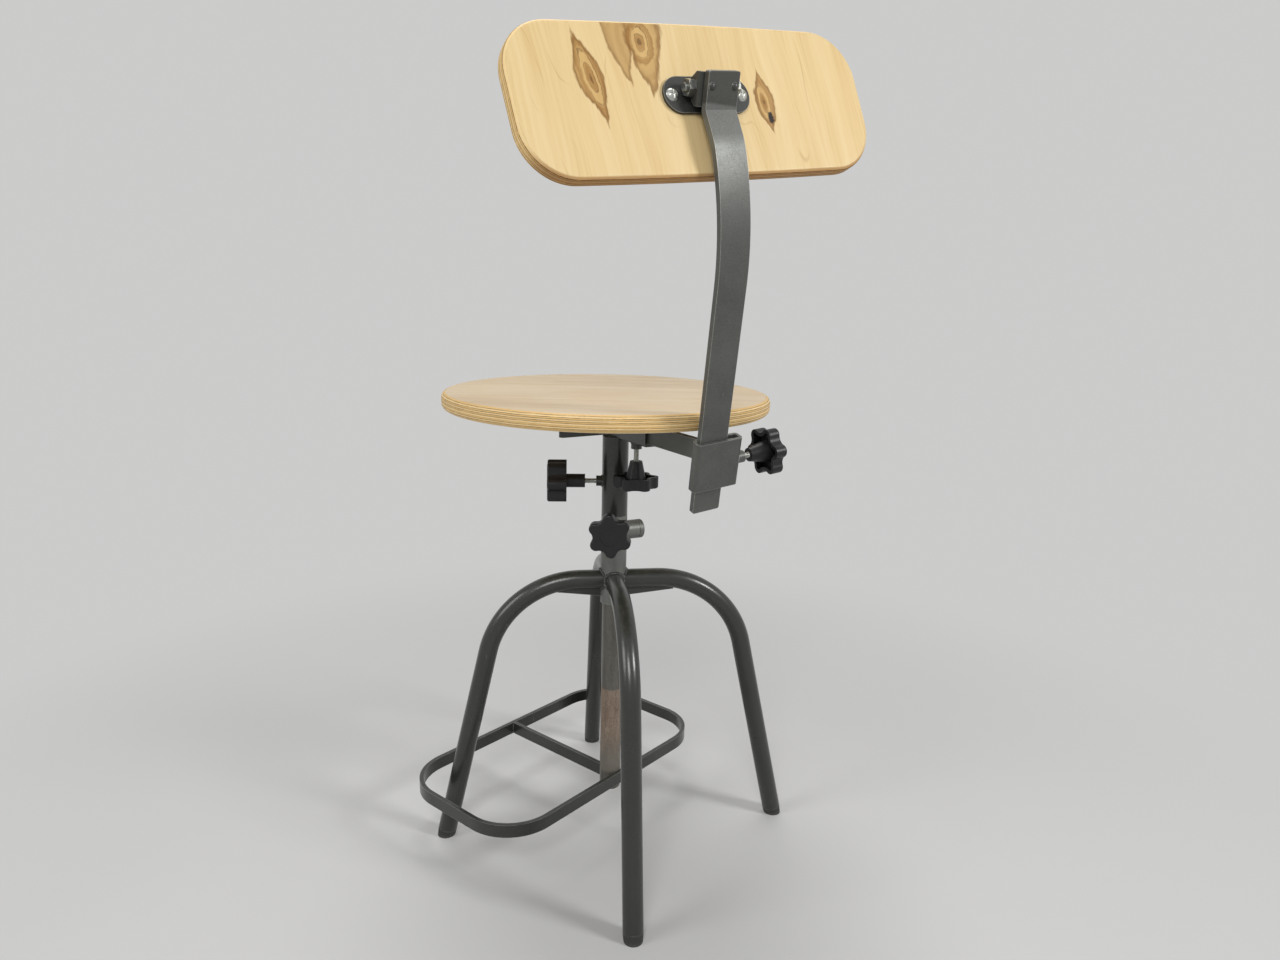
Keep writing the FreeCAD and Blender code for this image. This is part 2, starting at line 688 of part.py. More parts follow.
bar_corners = edges_along(back_bar, ahead_of(back_lean)) + edges_along(back_bar, ahead_of(tab_lean))
back_bar = back_bar.makeFillet(2.0, bar_corners)

# Bracket, rivets and pivot, built round the pivot with the bar's tab upright, then leaned like the tab
tab_middle = rear_bend + up_along(tab_lean) * (tab_length / 2)
pivot = tab_middle + ahead_of(tab_lean) * (back_bar_thickness + pivot_to_bar)


def on_tab(shape):
    return moved(turned(shape, -tab_lean, x_axis), pivot)


lug_corner = pivot_lug_radius * math.sqrt(0.5)
flange_outline = Part.Wire([
    Part.makeLine(V(0, pivot_to_bar, -bracket_half_height), V(0, pivot_to_bar, bracket_half_height)),
    Part.makeLine(V(0, pivot_to_bar, bracket_half_height), V(0, lug_corner, bracket_half_height)),
    Part.makeLine(V(0, lug_corner, bracket_half_height), V(0, -lug_corner, lug_corner)),
    Part.Arc(
        V(0, -lug_corner, lug_corner), V(0, -pivot_lug_radius, 0), V(0, -lug_corner, -lug_corner)
    ).toShape(),
    Part.makeLine(V(0, -lug_corner, -lug_corner), V(0, lug_corner, -bracket_half_height)),
    Part.makeLine(V(0, lug_corner, -bracket_half_height), V(0, pivot_to_bar, -bracket_half_height)),
])
flange_side = Part.Face(flange_outline).extrude(V(2 * bracket_half_width, 0, 0))
flange_side = moved(flange_side, V(-bracket_half_width, 0, 0))
bracket_room = block(
    V(-bracket_half_width + bracket_thickness, -beyond, -beyond),
    V(bracket_half_width - bracket_thickness, pivot_to_bar - bracket_thickness, beyond),
)
bracket_folds = []
for edge in edges_along(flange_side, z_axis):
    if abs(edge.CenterOfMass.y - pivot_to_bar) < 0.01:
        bracket_folds.append(edge)
flange_side = flange_side.makeFillet(bracket_fold, bracket_folds)
bracket_room = bracket_room.makeFillet(bracket_fold / 4, edges_along(bracket_room, z_axis))
pivot_left = V(bracket_half_width, 0, 0)
pivot_right = V(-bracket_half_width, 0, 0)
bracket = flange_side.cut(bracket_room).cut(cylinder(pivot_radius, pivot_right * 2, pivot_left * 2))
bolt_tip = x_axis * bolt_reach
bolt = cylinder(pivot_radius, pivot_right, bolt_tip)
bolt = bolt.makeChamfer(0.8, edges_at(bolt, x_axis, bolt_tip.x))
bolt = bolt.fuse(aimed(hexagon(pivot_hex, pivot_head_height), pivot_right, -x_axis)).removeSplitter()
nut = aimed(hexagon(pivot_hex, pivot_nut_height), pivot_left, x_axis)
nut = nut.cut(cylinder(pivot_radius, pivot_right, bolt_tip * 2))
rivets = []
for rivet_x in (-rivet_spread / 2, rivet_spread / 2):
    rivet = domed_pin(rivet_shank, back_bar_thickness + bracket_thickness, rivet_head, rivet_head_height)
    rivet = aimed(rivet, V(rivet_x, pivot_to_bar + back_bar_thickness, rivet_rise), y_axis)
    rivets.append(on_tab(rivet))
    bracket = bracket.cut(rivet)
    back_bar = back_bar.cut(on_tab(rivet))
save("back_bar", leaned_aside(back_bar))
save("tilt_bracket", leaned_aside(on_tab(bracket)))
save("bracket_rivets", *[leaned_aside(rivet) for rivet in rivets])
save("pivot_bolt", leaned_aside(on_tab(bolt)))
save("pivot_nut", leaned_aside(on_tab(nut)))

# Backrest, built round the pivot with the panel upright, then tilted with its top ahead
plate_rear = -pivot_lug_radius - slot_play
panel_rear = plate_rear - hinge_plate_thickness
ear_outer = bracket_half_width - bracket_thickness - face_gap
ear_inner = ear_outer - hinge_plate_thickness


def on_backrest(shape):
    return leaned_aside(moved(turned(shape, panel_tilt, x_axis), pivot))


half_round = hinge_plate_height / 2
plate_half = hinge_plate_length / 2 - half_round
plate_z = -hinge_plate_drop
plate = block(
    V(-plate_half, panel_rear, plate_z - half_round),
    V(plate_half, plate_rear, plate_z + half_round),
)
for end_x in (-plate_half, plate_half):
    plate = plate.fuse(cylinder(half_round, V(end_x, panel_rear, plate_z), V(end_x, plate_rear, plate_z)))
for ear_x in (-ear_outer, ear_inner):
    ear_near = V(ear_x, 0, 0)
    ear_far = V(ear_x + hinge_plate_thickness, 0, 0)
    ear_root = block(
        V(ear_x, plate_rear - 1, -pivot_lug_radius),
        V(ear_x + hinge_plate_thickness, 0, pivot_lug_radius),
    )
    ear = cylinder(pivot_lug_radius, ear_near, ear_far).fuse(ear_root)
    plate = plate.fuse(ear)
plate = plate.removeSplitter().cut(cylinder(pivot_radius + running_clearance, pivot_right, pivot_left))
spacer_half = ear_inner - running_clearance
spacer_bore = pivot_radius + running_clearance
spacer = tube(spacer_bore + spacer_wall, spacer_bore, V(-spacer_half, 0, 0), V(spacer_half, 0, 0))

crown_end = panel_height / 2 - panel_crown
half_width = panel_width / 2
top_left = V(half_width, 0, crown_end)
top_right = V(-half_width, 0, crown_end)
low_left = V(half_width, 0, -crown_end)
low_right = V(-half_width, 0, -crown_end)
panel_outline = Part.Wire([
    Part.Arc(top_right, V(0, 0, panel_height / 2), top_left).toShape(),
    Part.makeLine(top_left, low_left),
    Part.Arc(low_left, V(0, 0, -panel_height / 2), low_right).toShape(),
    Part.makeLine(low_right, top_right),
])
panel = Part.Face(panel_outline).extrude(V(0, -panel_thickness, 0))
panel = panel.makeFillet(panel_corner, edges_along(panel, y_axis))
panel_rims = edges_at(panel, y_axis, 0.0) + edges_at(panel, y_axis, -panel_thickness)
panel = moved(panel.makeFillet(panel_edge_radius, panel_rims), V(panel_aside, panel_rear, -panel_drop))
hinge_screws = []
for screw_x in (-hinge_screw_spread / 2, hinge_screw_spread / 2):
    reach = hinge_plate_thickness + hinge_screw_depth
    screw = domed_pin(hinge_screw_shank, reach, hinge_screw_head, hinge_screw_head_height)
    for across in (V(hinge_slot_width, hinge_slot_length, 0), V(hinge_slot_length, hinge_slot_width, 0)):
        slot_low = V(0, 0, hinge_screw_head_height - hinge_slot_depth) - across / 2
        screw = screw.cut(block(slot_low, slot_low + across + V(0, 0, hinge_screw_head)))
    screw = aimed(screw, V(screw_x, plate_rear, plate_z), y_axis)
    hinge_screws.append(on_backrest(screw))
    plate = plate.cut(screw)
    panel = panel.cut(screw)
save("hinge_plate", on_backrest(plate))
save("pivot_spacer", on_backrest(spacer))
save("hinge_screws", *hinge_screws)
save("backrest_panel", on_backrest(panel))
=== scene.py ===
import json
import math

import bpy
import numpy as np
from mathutils import Matrix, Vector


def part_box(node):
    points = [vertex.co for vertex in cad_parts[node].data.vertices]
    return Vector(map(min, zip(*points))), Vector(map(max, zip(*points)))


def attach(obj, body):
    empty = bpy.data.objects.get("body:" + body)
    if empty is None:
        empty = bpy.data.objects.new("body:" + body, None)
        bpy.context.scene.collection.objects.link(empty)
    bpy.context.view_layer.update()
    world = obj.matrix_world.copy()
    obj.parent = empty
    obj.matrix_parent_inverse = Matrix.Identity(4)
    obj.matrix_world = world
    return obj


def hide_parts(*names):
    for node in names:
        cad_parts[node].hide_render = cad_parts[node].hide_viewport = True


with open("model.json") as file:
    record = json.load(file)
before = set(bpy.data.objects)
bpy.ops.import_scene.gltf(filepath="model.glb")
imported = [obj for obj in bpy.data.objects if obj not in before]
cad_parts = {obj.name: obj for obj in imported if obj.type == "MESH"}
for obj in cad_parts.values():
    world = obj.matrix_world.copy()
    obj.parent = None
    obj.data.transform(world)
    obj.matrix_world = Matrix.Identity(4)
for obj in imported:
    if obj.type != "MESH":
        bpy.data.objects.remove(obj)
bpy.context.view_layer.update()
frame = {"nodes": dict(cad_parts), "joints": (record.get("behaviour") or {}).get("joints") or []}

nodes = frame["nodes"]
joints = {joint["name"]: joint for joint in frame["joints"]}
scene = bpy.context.scene
scene.view_settings.view_transform = "Standard"
print("frame loaded:", len(nodes), "nodes")


# Node helpers

def put(socket, value):
    # a socket is linked, anything else becomes the socket's own value; a colour is written as red, green, blue
    if isinstance(value, bpy.types.NodeSocket):
        socket.id_data.links.new(value, socket)
    else:
        socket.default_value = (*value, 1.0) if socket.type == "RGBA" else value


def putAll(sockets, values):
    for label, value in values.items():
        put(sockets[label], value)


def nodeFor(kind, *values):
    # a new node in the tree of the first socket among the values
    tree = next(value.id_data for value in values if isinstance(value, bpy.types.NodeSocket))
    return tree.nodes.new(kind)


def mathOf(operation, first, second=0.0, third=0.0, clamp=False):
    node = nodeFor("ShaderNodeMath", first, second, third)
    node.operation = operation
    node.use_clamp = clamp
    for socket, value in zip(node.inputs, (first, second, third)):
        put(socket, value)
    return node.outputs[0]


def times(first, second):
    return mathOf("MULTIPLY", first, second)


def timesPlus(first, second, added, clamp=False):
    return mathOf("MULTIPLY_ADD", first, second, added, clamp)


def less(first, second, clamp=False):
    return mathOf("SUBTRACT", first, second, clamp=clamp)


def sumOf(shares, first, second, clamp=False):
    # both values by their shares, added
    return timesPlus(first, shares[0], times(second, shares[1]), clamp)


def vectorOf(operation, first, second=(0.0, 0.0, 0.0)):
    node = nodeFor("ShaderNodeVectorMath", first)
    node.operation = operation
    put(node.inputs[0], first)
    put(node.inputs[1], second)
    return node.outputs["Value" if operation in ("DOT_PRODUCT", "LENGTH", "DISTANCE") else "Vector"]


def stretchOf(vector, scales):
    return vectorOf("MULTIPLY", vector, scales)


def splitOf(vector):
    node = nodeFor("ShaderNodeSeparateXYZ", vector)
    put(node.inputs[0], vector)
    return node.outputs


def joinOf(x, y, z):
    node = nodeFor("ShaderNodeCombineXYZ", x, y, z)
    for socket, value in zip(node.inputs, (x, y, z)):
        put(socket, value)
    return node.outputs[0]


def placeOf(vector, location, rotation, scale=(1.0, 1.0, 1.0)):
    # a point in the axes of something that is placed, turned and scaled
    node = nodeFor("ShaderNodeMapping", vector)
    node.vector_type = "TEXTURE"
    putAll(node.inputs, {"Vector": vector, "Location": location, "Rotation": rotation, "Scale": scale})
    return node.outputs[0]


def noiseOf(vector, scale, detail=2.0, roughness=0.5):
    node = nodeFor("ShaderNodeTexNoise", vector)
    putAll(node.inputs, {"Vector": vector, "Scale": scale, "Detail": detail, "Roughness": roughness})
    return node.outputs["Fac"]


def swayOf(vector, scale, detail, roughness):
    # noise about nought
    return less(noiseOf(vector, scale, detail, roughness), 0.5)


def rangeOf(value, low, high, outLow=0.0, outHigh=1.0):
    node = nodeFor("ShaderNodeMapRange", value)
    node.interpolation_type = "SMOOTHSTEP"
    putAll(node.inputs, {
        "Value": value, "From Min": low, "From Max": high, "To Min": outLow, "To Max": outHigh,
    })
    return node.outputs["Result"]


def mixOf(factor, first, second, blend="MIX"):
    node = nodeFor("ShaderNodeMix", factor, first)
    node.data_type = "RGBA"
    node.blend_type = blend
    put(node.inputs[0], factor)
    put(node.inputs[6], first)
    put(node.inputs[7], second)
    return node.outputs[2]


def rampOf(value, stops):
    # colours at their places from 0 to 1
    node = nodeFor("ShaderNodeValToRGB", value)
    spots = node.color_ramp.elements
    while len(spots) < len(stops):
        spots.new(0.5)
    for spot, (place, shade) in zip(spots, stops):
        spot.position = place
        spot.color = (*shade, 1.0)
    put(node.inputs["Fac"], value)
    return node.outputs["Color"]


def twoTones(value, places, dark, light):
    return rampOf(value, list(zip(places, (dark, light))))


def startGroup(name, inputs, outputs):
    # a number makes a float socket, three numbers or none a vector socket
    tree = bpy.data.node_groups.new(name, "ShaderNodeTree")
    for label, value in inputs.items():
        kind = "NodeSocketFloat" if isinstance(value, float) else "NodeSocketVector"
        socket = tree.interface.new_socket(name=label, in_out="INPUT", socket_type=kind)
        if value is not None:
            socket.default_value = value
    for label in outputs:
        tree.interface.new_socket(name=label, in_out="OUTPUT", socket_type="NodeSocketFloat")
    return tree, tree.nodes.new("NodeGroupInput").outputs, tree.nodes.new("NodeGroupOutput").inputs


def useGroup(group, **values):
    node = nodeFor("ShaderNodeGroup", *values.values())
    node.node_tree = group
    putAll(node.inputs, values)
    return node.outputs


# Shared effects
# a noise is written as scale, detail and roughness, or without the scale where that is a socket; a fade is
# where it starts and ends, and the values there if they aren't 0 and 1

wear = {
    "samples": 6, "bend": (0.015, 0.2), "patch": (5.0, 0.65), "patchAndEdge": (1.1, 0.5), "shown": (0.78, 1.05),
}


def edgeWearGroup():
    # where a rounded normal leaves the true one there is an edge; Cover turns broken wear into a line
    tree, given, made = startGroup(
        "edgeWear", {"Vector": None, "Reach": 0.001, "Patch": 90.0, "Cover": 0.0, "Amount": 0.6}, ["Worn"]
    )
    rounded = tree.nodes.new("ShaderNodeBevel")
    rounded.samples = wear["samples"]
    put(rounded.inputs["Radius"], given["Reach"])
    trueNormal = tree.nodes.new("ShaderNodeNewGeometry").outputs["Normal"]
    agreement = vectorOf("DOT_PRODUCT", rounded.outputs["Normal"], trueNormal)
    edge = rangeOf(less(1.0, agreement), *wear["bend"])
    patch = noiseOf(given["Vector"], given["Patch"], *wear["patch"])
    reached = mathOf("ADD", sumOf(wear["patchAndEdge"], patch, edge), given["Cover"])
    broken = times(rangeOf(reached, *wear["shown"]), edge)
    put(made["Worn"], times(broken, given["Amount"]))
    return tree


spray = {
    "speck": (2.0, 0.6), "cloud": (4.0, 0.6), "speckFade": (0.25, 0.75), "speckAndCloud": (0.4, 0.6),
    "cellScale": 0.6, "cellAndSpeck": (0.8, 0.5),
}


def sprayPaintGroup():
    # fine orange peel over slow clouds of tone
    tree, given, made = startGroup(
        "sprayPaint", {"Vector": None, "Speck": 850.0, "Cloud": 22.0}, ["Tone", "Height"]
    )
    speck = noiseOf(given["Vector"], given["Speck"], *spray["speck"])
    cloud = noiseOf(given["Vector"], given["Cloud"], *spray["cloud"])
    cells = tree.nodes.new("ShaderNodeTexVoronoi")
    cells.feature = "SMOOTH_F1"
    put(cells.inputs["Vector"], given["Vector"])
    put(cells.inputs["Scale"], times(given["Speck"], spray["cellScale"]))
    speckTone = rangeOf(speck, *spray["speckFade"])
    put(made["Tone"], sumOf(spray["speckAndCloud"], speckTone, cloud))
    put(made["Height"], sumOf(spray["cellAndSpeck"], cells.outputs["Distance"], speck))
    return tree


dust = {"upward": (0.25, 0.95), "patch": (120.0, 5.0, 0.65), "settled": (0.35, 0.7)}


def dustFilmGroup():
    # dust settles on faces that look up, in soft patches
    tree, given, made = startGroup("dustFilm", {"Vector": None, "Amount": 0.3}, ["Dust"])
    facing = splitOf(tree.nodes.new("ShaderNodeNewGeometry").outputs["Normal"])["Z"]
    upward = rangeOf(facing, *dust["upward"])
    settled = rangeOf(noiseOf(given["Vector"], *dust["patch"]), *dust["settled"])
    put(made["Dust"], times(times(upward, settled), given["Amount"]))
    return tree


scoring = {"thin": (3.0, 0.7), "crest": 0.08, "areaScale": 0.05, "area": (0.42, 0.68)}


def scuffsGroup():
    # noise cut to its crests and kept to some areas; drawn-out coordinates make scratches of it
    tree, given, made = startGroup("scuffs", {"Vector": None, "Fine": 260.0, "Share": 0.66}, ["Scuff"])
    thin = noiseOf(given["Vector"], given["Fine"], *scoring["thin"])
    areas = noiseOf(given["Vector"], times(given["Fine"], scoring["areaScale"]))
    crest = rangeOf(thin, given["Share"], mathOf("ADD", given["Share"], scoring["crest"]))
    put(made["Scuff"], times(crest, rangeOf(areas, *scoring["area"])))
    return tree


birch = {
    "warp": (9.0, 2.0, 0.5), "warpBy": 0.012, "bands": (34.0, 3.0, 0.55), "bandDrawn": 0.07,
    "streaks": (330.0, 4.0, 0.6), "streakDrawn": 0.03, "flecks": (1500.0, 1.0, 0.5), "fleckDrawn": 0.09,
    "pores": (0.66, 0.8), "bandsAndStreaks": (0.6, 0.4), "relief": 0.6,
}


def birchGrainGroup():
    # X runs across the grain and Z along it; bands, streaks and short pores are drawn out along Z
    tree, given, made = startGroup("birchGrain", {"Vector": None}, ["Figure", "Pores", "Height"])
    part = splitOf(given["Vector"])
    across = timesPlus(swayOf(given["Vector"], *birch["warp"]), birch["warpBy"], part["X"])
    bandsAt = joinOf(across, part["Y"], times(part["Z"], birch["bandDrawn"]))
    streaksAt = joinOf(across, part["Y"], times(part["Z"], birch["streakDrawn"]))
    flecksAt = joinOf(part["X"], part["Y"], times(part["Z"], birch["fleckDrawn"]))
    bands = noiseOf(bandsAt, *birch["bands"])
    streaks = noiseOf(streaksAt, *birch["streaks"])
    pores = rangeOf(noiseOf(flecksAt, *birch["flecks"]), *birch["pores"])
    put(made["Figure"], sumOf(birch["bandsAndStreaks"], bands, streaks))
    put(made["Pores"], pores)
    put(made["Height"], less(times(streaks, birch["relief"]), pores))
    return tree


# the tone of a ply is its grain by a share, and a ground
plies = {
    "waver": (38.0, 3.0, 0.6), "waverBy": 0.035, "strength": (0.15, 0.6, 0.3, 1.0), "seamAt": (0.32, 0.44),
    "seamDrawn": (1.0, 1.0, 4.0), "seam": (60.0, 4.0, 0.7), "seamShown": (0.3, 0.55, 0.35, 1.0),
    "endGrain": (900.0, 3.0, 0.7), "endTone": (0.5, 0.14), "sideGrain": (200.0, 3.0, 0.6),
    "sideTone": (0.5, 0.46), "relief": 0.4,
}


def plyEdgeGroup():
    # Depth goes from 0 at one face to 1 at the other; plies alternate, with glue lines of uneven strength
    tree, given, made = startGroup(
        "plyEdge", {"Vector": None, "Depth": 0.0, "Layers": 11.0}, ["Tone", "Glue", "Height"]
    )
    waver = swayOf(given["Vector"], *plies["waver"])
    level = times(timesPlus(waver, plies["waverBy"], given["Depth"]), given["Layers"])
    fromMiddle = mathOf("ABSOLUTE", less(mathOf("FRACT", level), 0.5))
    lineNumber = tree.nodes.new("ShaderNodeTexWhiteNoise")
    lineNumber.noise_dimensions = "1D"
    put(lineNumber.inputs["W"], mathOf("FLOOR", mathOf("ADD", level, 0.5)))
    strength = rangeOf(lineNumber.outputs["Value"], *plies["strength"])
    seamNoise = noiseOf(stretchOf(given["Vector"], plies["seamDrawn"]), *plies["seam"])
    seam = times(rangeOf(fromMiddle, *plies["seamAt"]), rangeOf(seamNoise, *plies["seamShown"]))
    glue = times(seam, strength)
    turned = mathOf("PINGPONG", mathOf("FLOOR", level), 1.0)     # every other ply
    endGrain = noiseOf(given["Vector"], *plies["endGrain"])
    sideGrain = noiseOf(given["Vector"], *plies["sideGrain"])
    tone = tree.nodes.new("ShaderNodeMix")
    put(tone.inputs[0], mathOf("GREATER_THAN", turned, 0.5))
    put(tone.inputs[2], timesPlus(sideGrain, *plies["sideTone"]))
    put(tone.inputs[3], timesPlus(endGrain, *plies["endTone"]))
    put(made["Tone"], tone.outputs[0])
    put(made["Glue"], glue)
    put(made["Height"], less(times(endGrain, plies["relief"]), glue))
    return tree


leaf = {
    "drawn": (1.0, 1.0, 0.16), "fray": (420.0, 3.0, 0.6), "frayBy": 0.36, "wander": (46.0, 2.0, 0.5),
    "wanderBy": 0.7, "pastTips": 4.0, "inside": (0.06, -0.1), "rimIn": (-0.34, -0.1), "rimOut": (0.1, 0.0),
    "crooked": (120.0, 3.0, 0.6), "heartFray": 0.3, "ringPatch": (90.0, 2.0, 0.5),
    "ringShare": (0.3, 0.65, 0.25, 1.0), "ringLine": (0.35, 0.97), "ringEnd": 0.6, "core": (0.42, 0.12),
    "slow": 0.42, "band": (-0.5, 0.8), "tip": (0.6, 1.25), "pushFade": -0.35,
}


def knotFieldGroup():
    # a leaf with a round middle and drawn-out tips: its half width is 1 less the square of the length, to a
    # power. The outline wanders slowly and frays along the grain. Thin uneven rings and broad bands lie round a
    # heart and fade towards the tips. Push moves the grain aside: the breadth times a bell of the distance
    tree, given, made = startGroup(
        "knotField",
        {
            "Vector": None, "Centre": None, "Turn": None, "Size": (1.0, 1.0, 1.0), "Taper": 1.5,
            "Heart": None, "Spread": (1.0, 1.0, 1.0), "Rings": 7.0, "Reach": 2.0,
        },
        ["Inside", "Rim", "Ring", "Band", "Tip", "Core", "Push"],
    )
    part = splitOf(placeOf(given["Vector"], given["Centre"], given["Turn"], given["Size"]))
    drawn = stretchOf(given["Vector"], leaf["drawn"])
    frayed = swayOf(drawn, *leaf["fray"])
    wander = swayOf(given["Vector"], *leaf["wander"])
    breadth = mathOf("ABSOLUTE", timesPlus(wander, leaf["wanderBy"], part["X"]))
    lengthSquare = times(part["Z"], part["Z"])
    halfWidth = mathOf("POWER", less(1.0, lengthSquare, True), given["Taper"])
    pastTips = times(less(lengthSquare, 1.0, True), leaf["pastTips"])
    outside = mathOf("ADD", less(breadth, halfWidth), pastTips)
    outside = timesPlus(frayed, leaf["frayBy"], outside)
    put(made["Inside"], rangeOf(outside, *leaf["inside"]))
    rimIn, rimOut = (rangeOf(outside, *leaf[side]) for side in ("rimIn", "rimOut"))
    put(made["Rim"], times(rimIn, rimOut))

    heart = splitOf(placeOf(given["Vector"], given["Heart"], given["Turn"], given["Spread"]))
    heartWay = vectorOf("LENGTH", joinOf(heart["X"], 0.0, heart["Z"]))
    heartWay = mathOf("ADD", heartWay, swayOf(given["Vector"], *leaf["crooked"]))
    heartWay = timesPlus(frayed, leaf["heartFray"], heartWay)
    phase = times(heartWay, given["Rings"])
    ringFade = rangeOf(heartWay, given["Reach"], times(given["Reach"], leaf["ringEnd"]))
    ringShare = rangeOf(noiseOf(drawn, *leaf["ringPatch"]), *leaf["ringShare"])
    ringLine = times(rangeOf(mathOf("SINE", phase), *leaf["ringLine"]), ringShare)
    put(made["Ring"], times(ringLine, ringFade))
    put(made["Core"], rangeOf(heartWay, *leaf["core"]))
    slowWave = mathOf("SINE", times(phase, leaf["slow"]))
    put(made["Band"], rangeOf(slowWave, *leaf["band"]))
    tipStart, tipEnd = (times(given["Reach"], share) for share in leaf["tip"])
    put(made["Tip"], rangeOf(heartWay, tipStart, tipEnd))
    waySquare = timesPlus(part["X"], part["X"], lengthSquare)
    bell = mathOf("EXPONENT", times(waySquare, leaf["pushFade"]))
    put(made["Push"], times(part["X"], bell))
    return tree


edgeWear = edgeWearGroup()
sprayPaint = sprayPaintGroup()
dustFilm = dustFilmGroup()
scuffs = scuffsGroup()
birchGrain = birchGrainGroup()
plyEdge = plyEdgeGroup()
knotField = knotFieldGroup()
print("shader groups ready")


# Materials

def startMaterial(name):
    material = bpy.data.materials.new(name)
    material.use_nodes = True
    inside = material.node_tree.nodes
    return material, inside["Principled BSDF"], inside.new("ShaderNodeTexCoord").outputs["Object"]


def bumpOf(shader, height, distance, strength):
    node = nodeFor("ShaderNodeBump", height)
    putAll(node.inputs, {"Strength": strength, "Distance": distance, "Height": height})
    put(shader.inputs["Normal"], node.outputs["Normal"])


toneSpan = (0.2, 0.8)


def roughOf(tone, rough):
    # from the roughness of low tones to that of high ones
    return rangeOf(tone, *toneSpan, *rough)


def wornOf(here, look, amount, cover=0.0):
    reach, patch = look["edgeReach"], look["edgePatch"]
    return useGroup(edgeWear, Vector=here, Reach=reach, Patch=patch, Cover=cover, Amount=amount)["Worn"]


def scratchOf(here, look):
    drawn = stretchOf(here, look["scratchDrawn"])
    scuff = useGroup(scuffs, Vector=drawn, Fine=look["scratchFine"], Share=look["scratchCut"])
    return times(scuff["Scuff"], look["scratchShare"])


# what the coats share: bare edges and how unbroken they are, scratches, dust, and the bump's depth and strength
sharedCoat = {
    "tones": (0.25, 0.75), "rough": (0.52, 0.38), "metallic": 0.45, "coat": 0.0, "coatRough": 0.18,
    "wear": 0.9, "cover": 0.3, "edgeReach": 0.0011, "edgePatch": 110.0, "bareSteel": (0.40, 0.40, 0.38),
    "scratchDrawn": (1.0, 1.0, 0.12), "scratchFine": 420.0, "scratchCut": 0.67, "scratchShare": 0.3,
    "dust": 0.05, "dustShade": (0.32, 0.30, 0.27), "dustRough": 0.35, "bump": (0.00008, 0.5),
}
# each coat: dark and light tone, scale of the speck, and where it differs from the others
lacquers = {
    "legEnamel": {
        "dark": (0.0195, 0.0213, 0.0180), "light": (0.0315, 0.0340, 0.0290), "speck": 1100.0, "coat": 0.35,
        "rough": (0.34, 0.26), "metallic": 0.15, "wear": 0.6, "cover": 0.0, "bump": (0.00005, 0.5),
    },
    "barLacquer": {
        "dark": (0.074, 0.076, 0.070), "light": (0.136, 0.139, 0.128), "speck": 1500.0, "dust": 0.08,
        # heights: a painted highlight brightens the bar up to the fold, and painted shade darkens the folded
        # end above
        "rubbedAndPaintedLight": {
            "bright": (0.742, 0.803), "shade": (0.225, 0.232, 0.215),
            "fold": (0.810, 0.813), "end": (0.70, 0.70, 0.68),
        },
    },
    "hubLacquer": {"dark": (0.125, 0.129, 0.119), "light": (0.21, 0.216, 0.199), "speck": 1300.0},
    "hingeLacquer": {
        "dark": (0.030, 0.0312, 0.0278), "light": (0.058, 0.0597, 0.0535), "speck": 1500.0, "dust": 0.06,
        "rough": (0.46, 0.33), "metallic": 0.3, "wear": 0.75, "cover": 0.1, "bump": (0.00007, 0.5),
    },
}


def greyLacquer(name):
    # sprayed steel grey with bare edges, thin scratches and a little dust
    coat = {**sharedCoat, **lacquers[name]}
    material, shader, here = startMaterial(name)
    paint = useGroup(sprayPaint, Vector=here, Speck=coat["speck"])
    body = twoTones(paint["Tone"], coat["tones"], coat["dark"], coat["light"])
    # painted highlight below the fold and painted shade on the folded end, both set by height
    if "rubbedAndPaintedLight" in coat:
        rubbedAndPaintedLight = coat["rubbedAndPaintedLight"]
        height = splitOf(here)["Z"]
        bright = times(rangeOf(height, *rubbedAndPaintedLight["bright"]), paint["Tone"])
        end = mixOf(1.0, body, rubbedAndPaintedLight["end"], "MULTIPLY")
        body = mixOf(bright, body, rubbedAndPaintedLight["shade"])
        body = mixOf(rangeOf(height, *rubbedAndPaintedLight["fold"]), body, end)
    worn = wornOf(here, coat, coat["wear"], coat["cover"])
    bare = mathOf("MAXIMUM", worn, scratchOf(here, coat))
    film = useGroup(dustFilm, Vector=here, Amount=coat["dust"])["Dust"]
    shade = mixOf(bare, body, coat["bareSteel"])
    rough = roughOf(paint["Tone"], coat["rough"])
    putAll(shader.inputs, {
        "Base Color": mixOf(film, shade, coat["dustShade"]),
        "Roughness": timesPlus(film, coat["dustRough"], rough),
        "Metallic": coat["metallic"], "Coat Weight": coat["coat"], "Coat Roughness": coat["coatRough"],
    })
    bumpOf(shader, paint["Height"], *coat["bump"])
    return material


spindleLook = {
    "drawn": (1.0, 1.0, 0.22), "blotch": (110.0, 6.0, 0.68), "grime": (420.0, 4.0, 0.65),
    "grimeAndBlotch": (0.4, 0.6),
    "rust": [(0.28, (0.075, 0.042, 0.026)), (0.47, (0.195, 0.140, 0.103)), (0.68, (0.32, 0.258, 0.20))],
    "grease": [(0.3, (0.066, 0.062, 0.053)), (0.7, (0.168, 0.160, 0.138))],
    # heights: both ends of the rusty stretch and its grey foot, made ragged by the blotches
    "lowEnd": (0.078, 0.083), "highEnd": (0.190, 0.1885), "ragged": 0.008,
    "foot": (0.178, 0.118), "footRagged": 0.07, "footShare": 0.75, "grey": (0.16, 0.158, 0.135),
    "scratch": (0.33, 0.31, 0.28), "scratchDrawn": (1.0, 1.0, 0.03), "scratchFine": 600.0,
    "scratchCut": 0.6, "scratchShare": 0.35,
    "rough": (0.0, 0.7, 0.34, 0.62), "metallic": (-0.25, 0.45), "bump": (0.0002, 0.5),
}


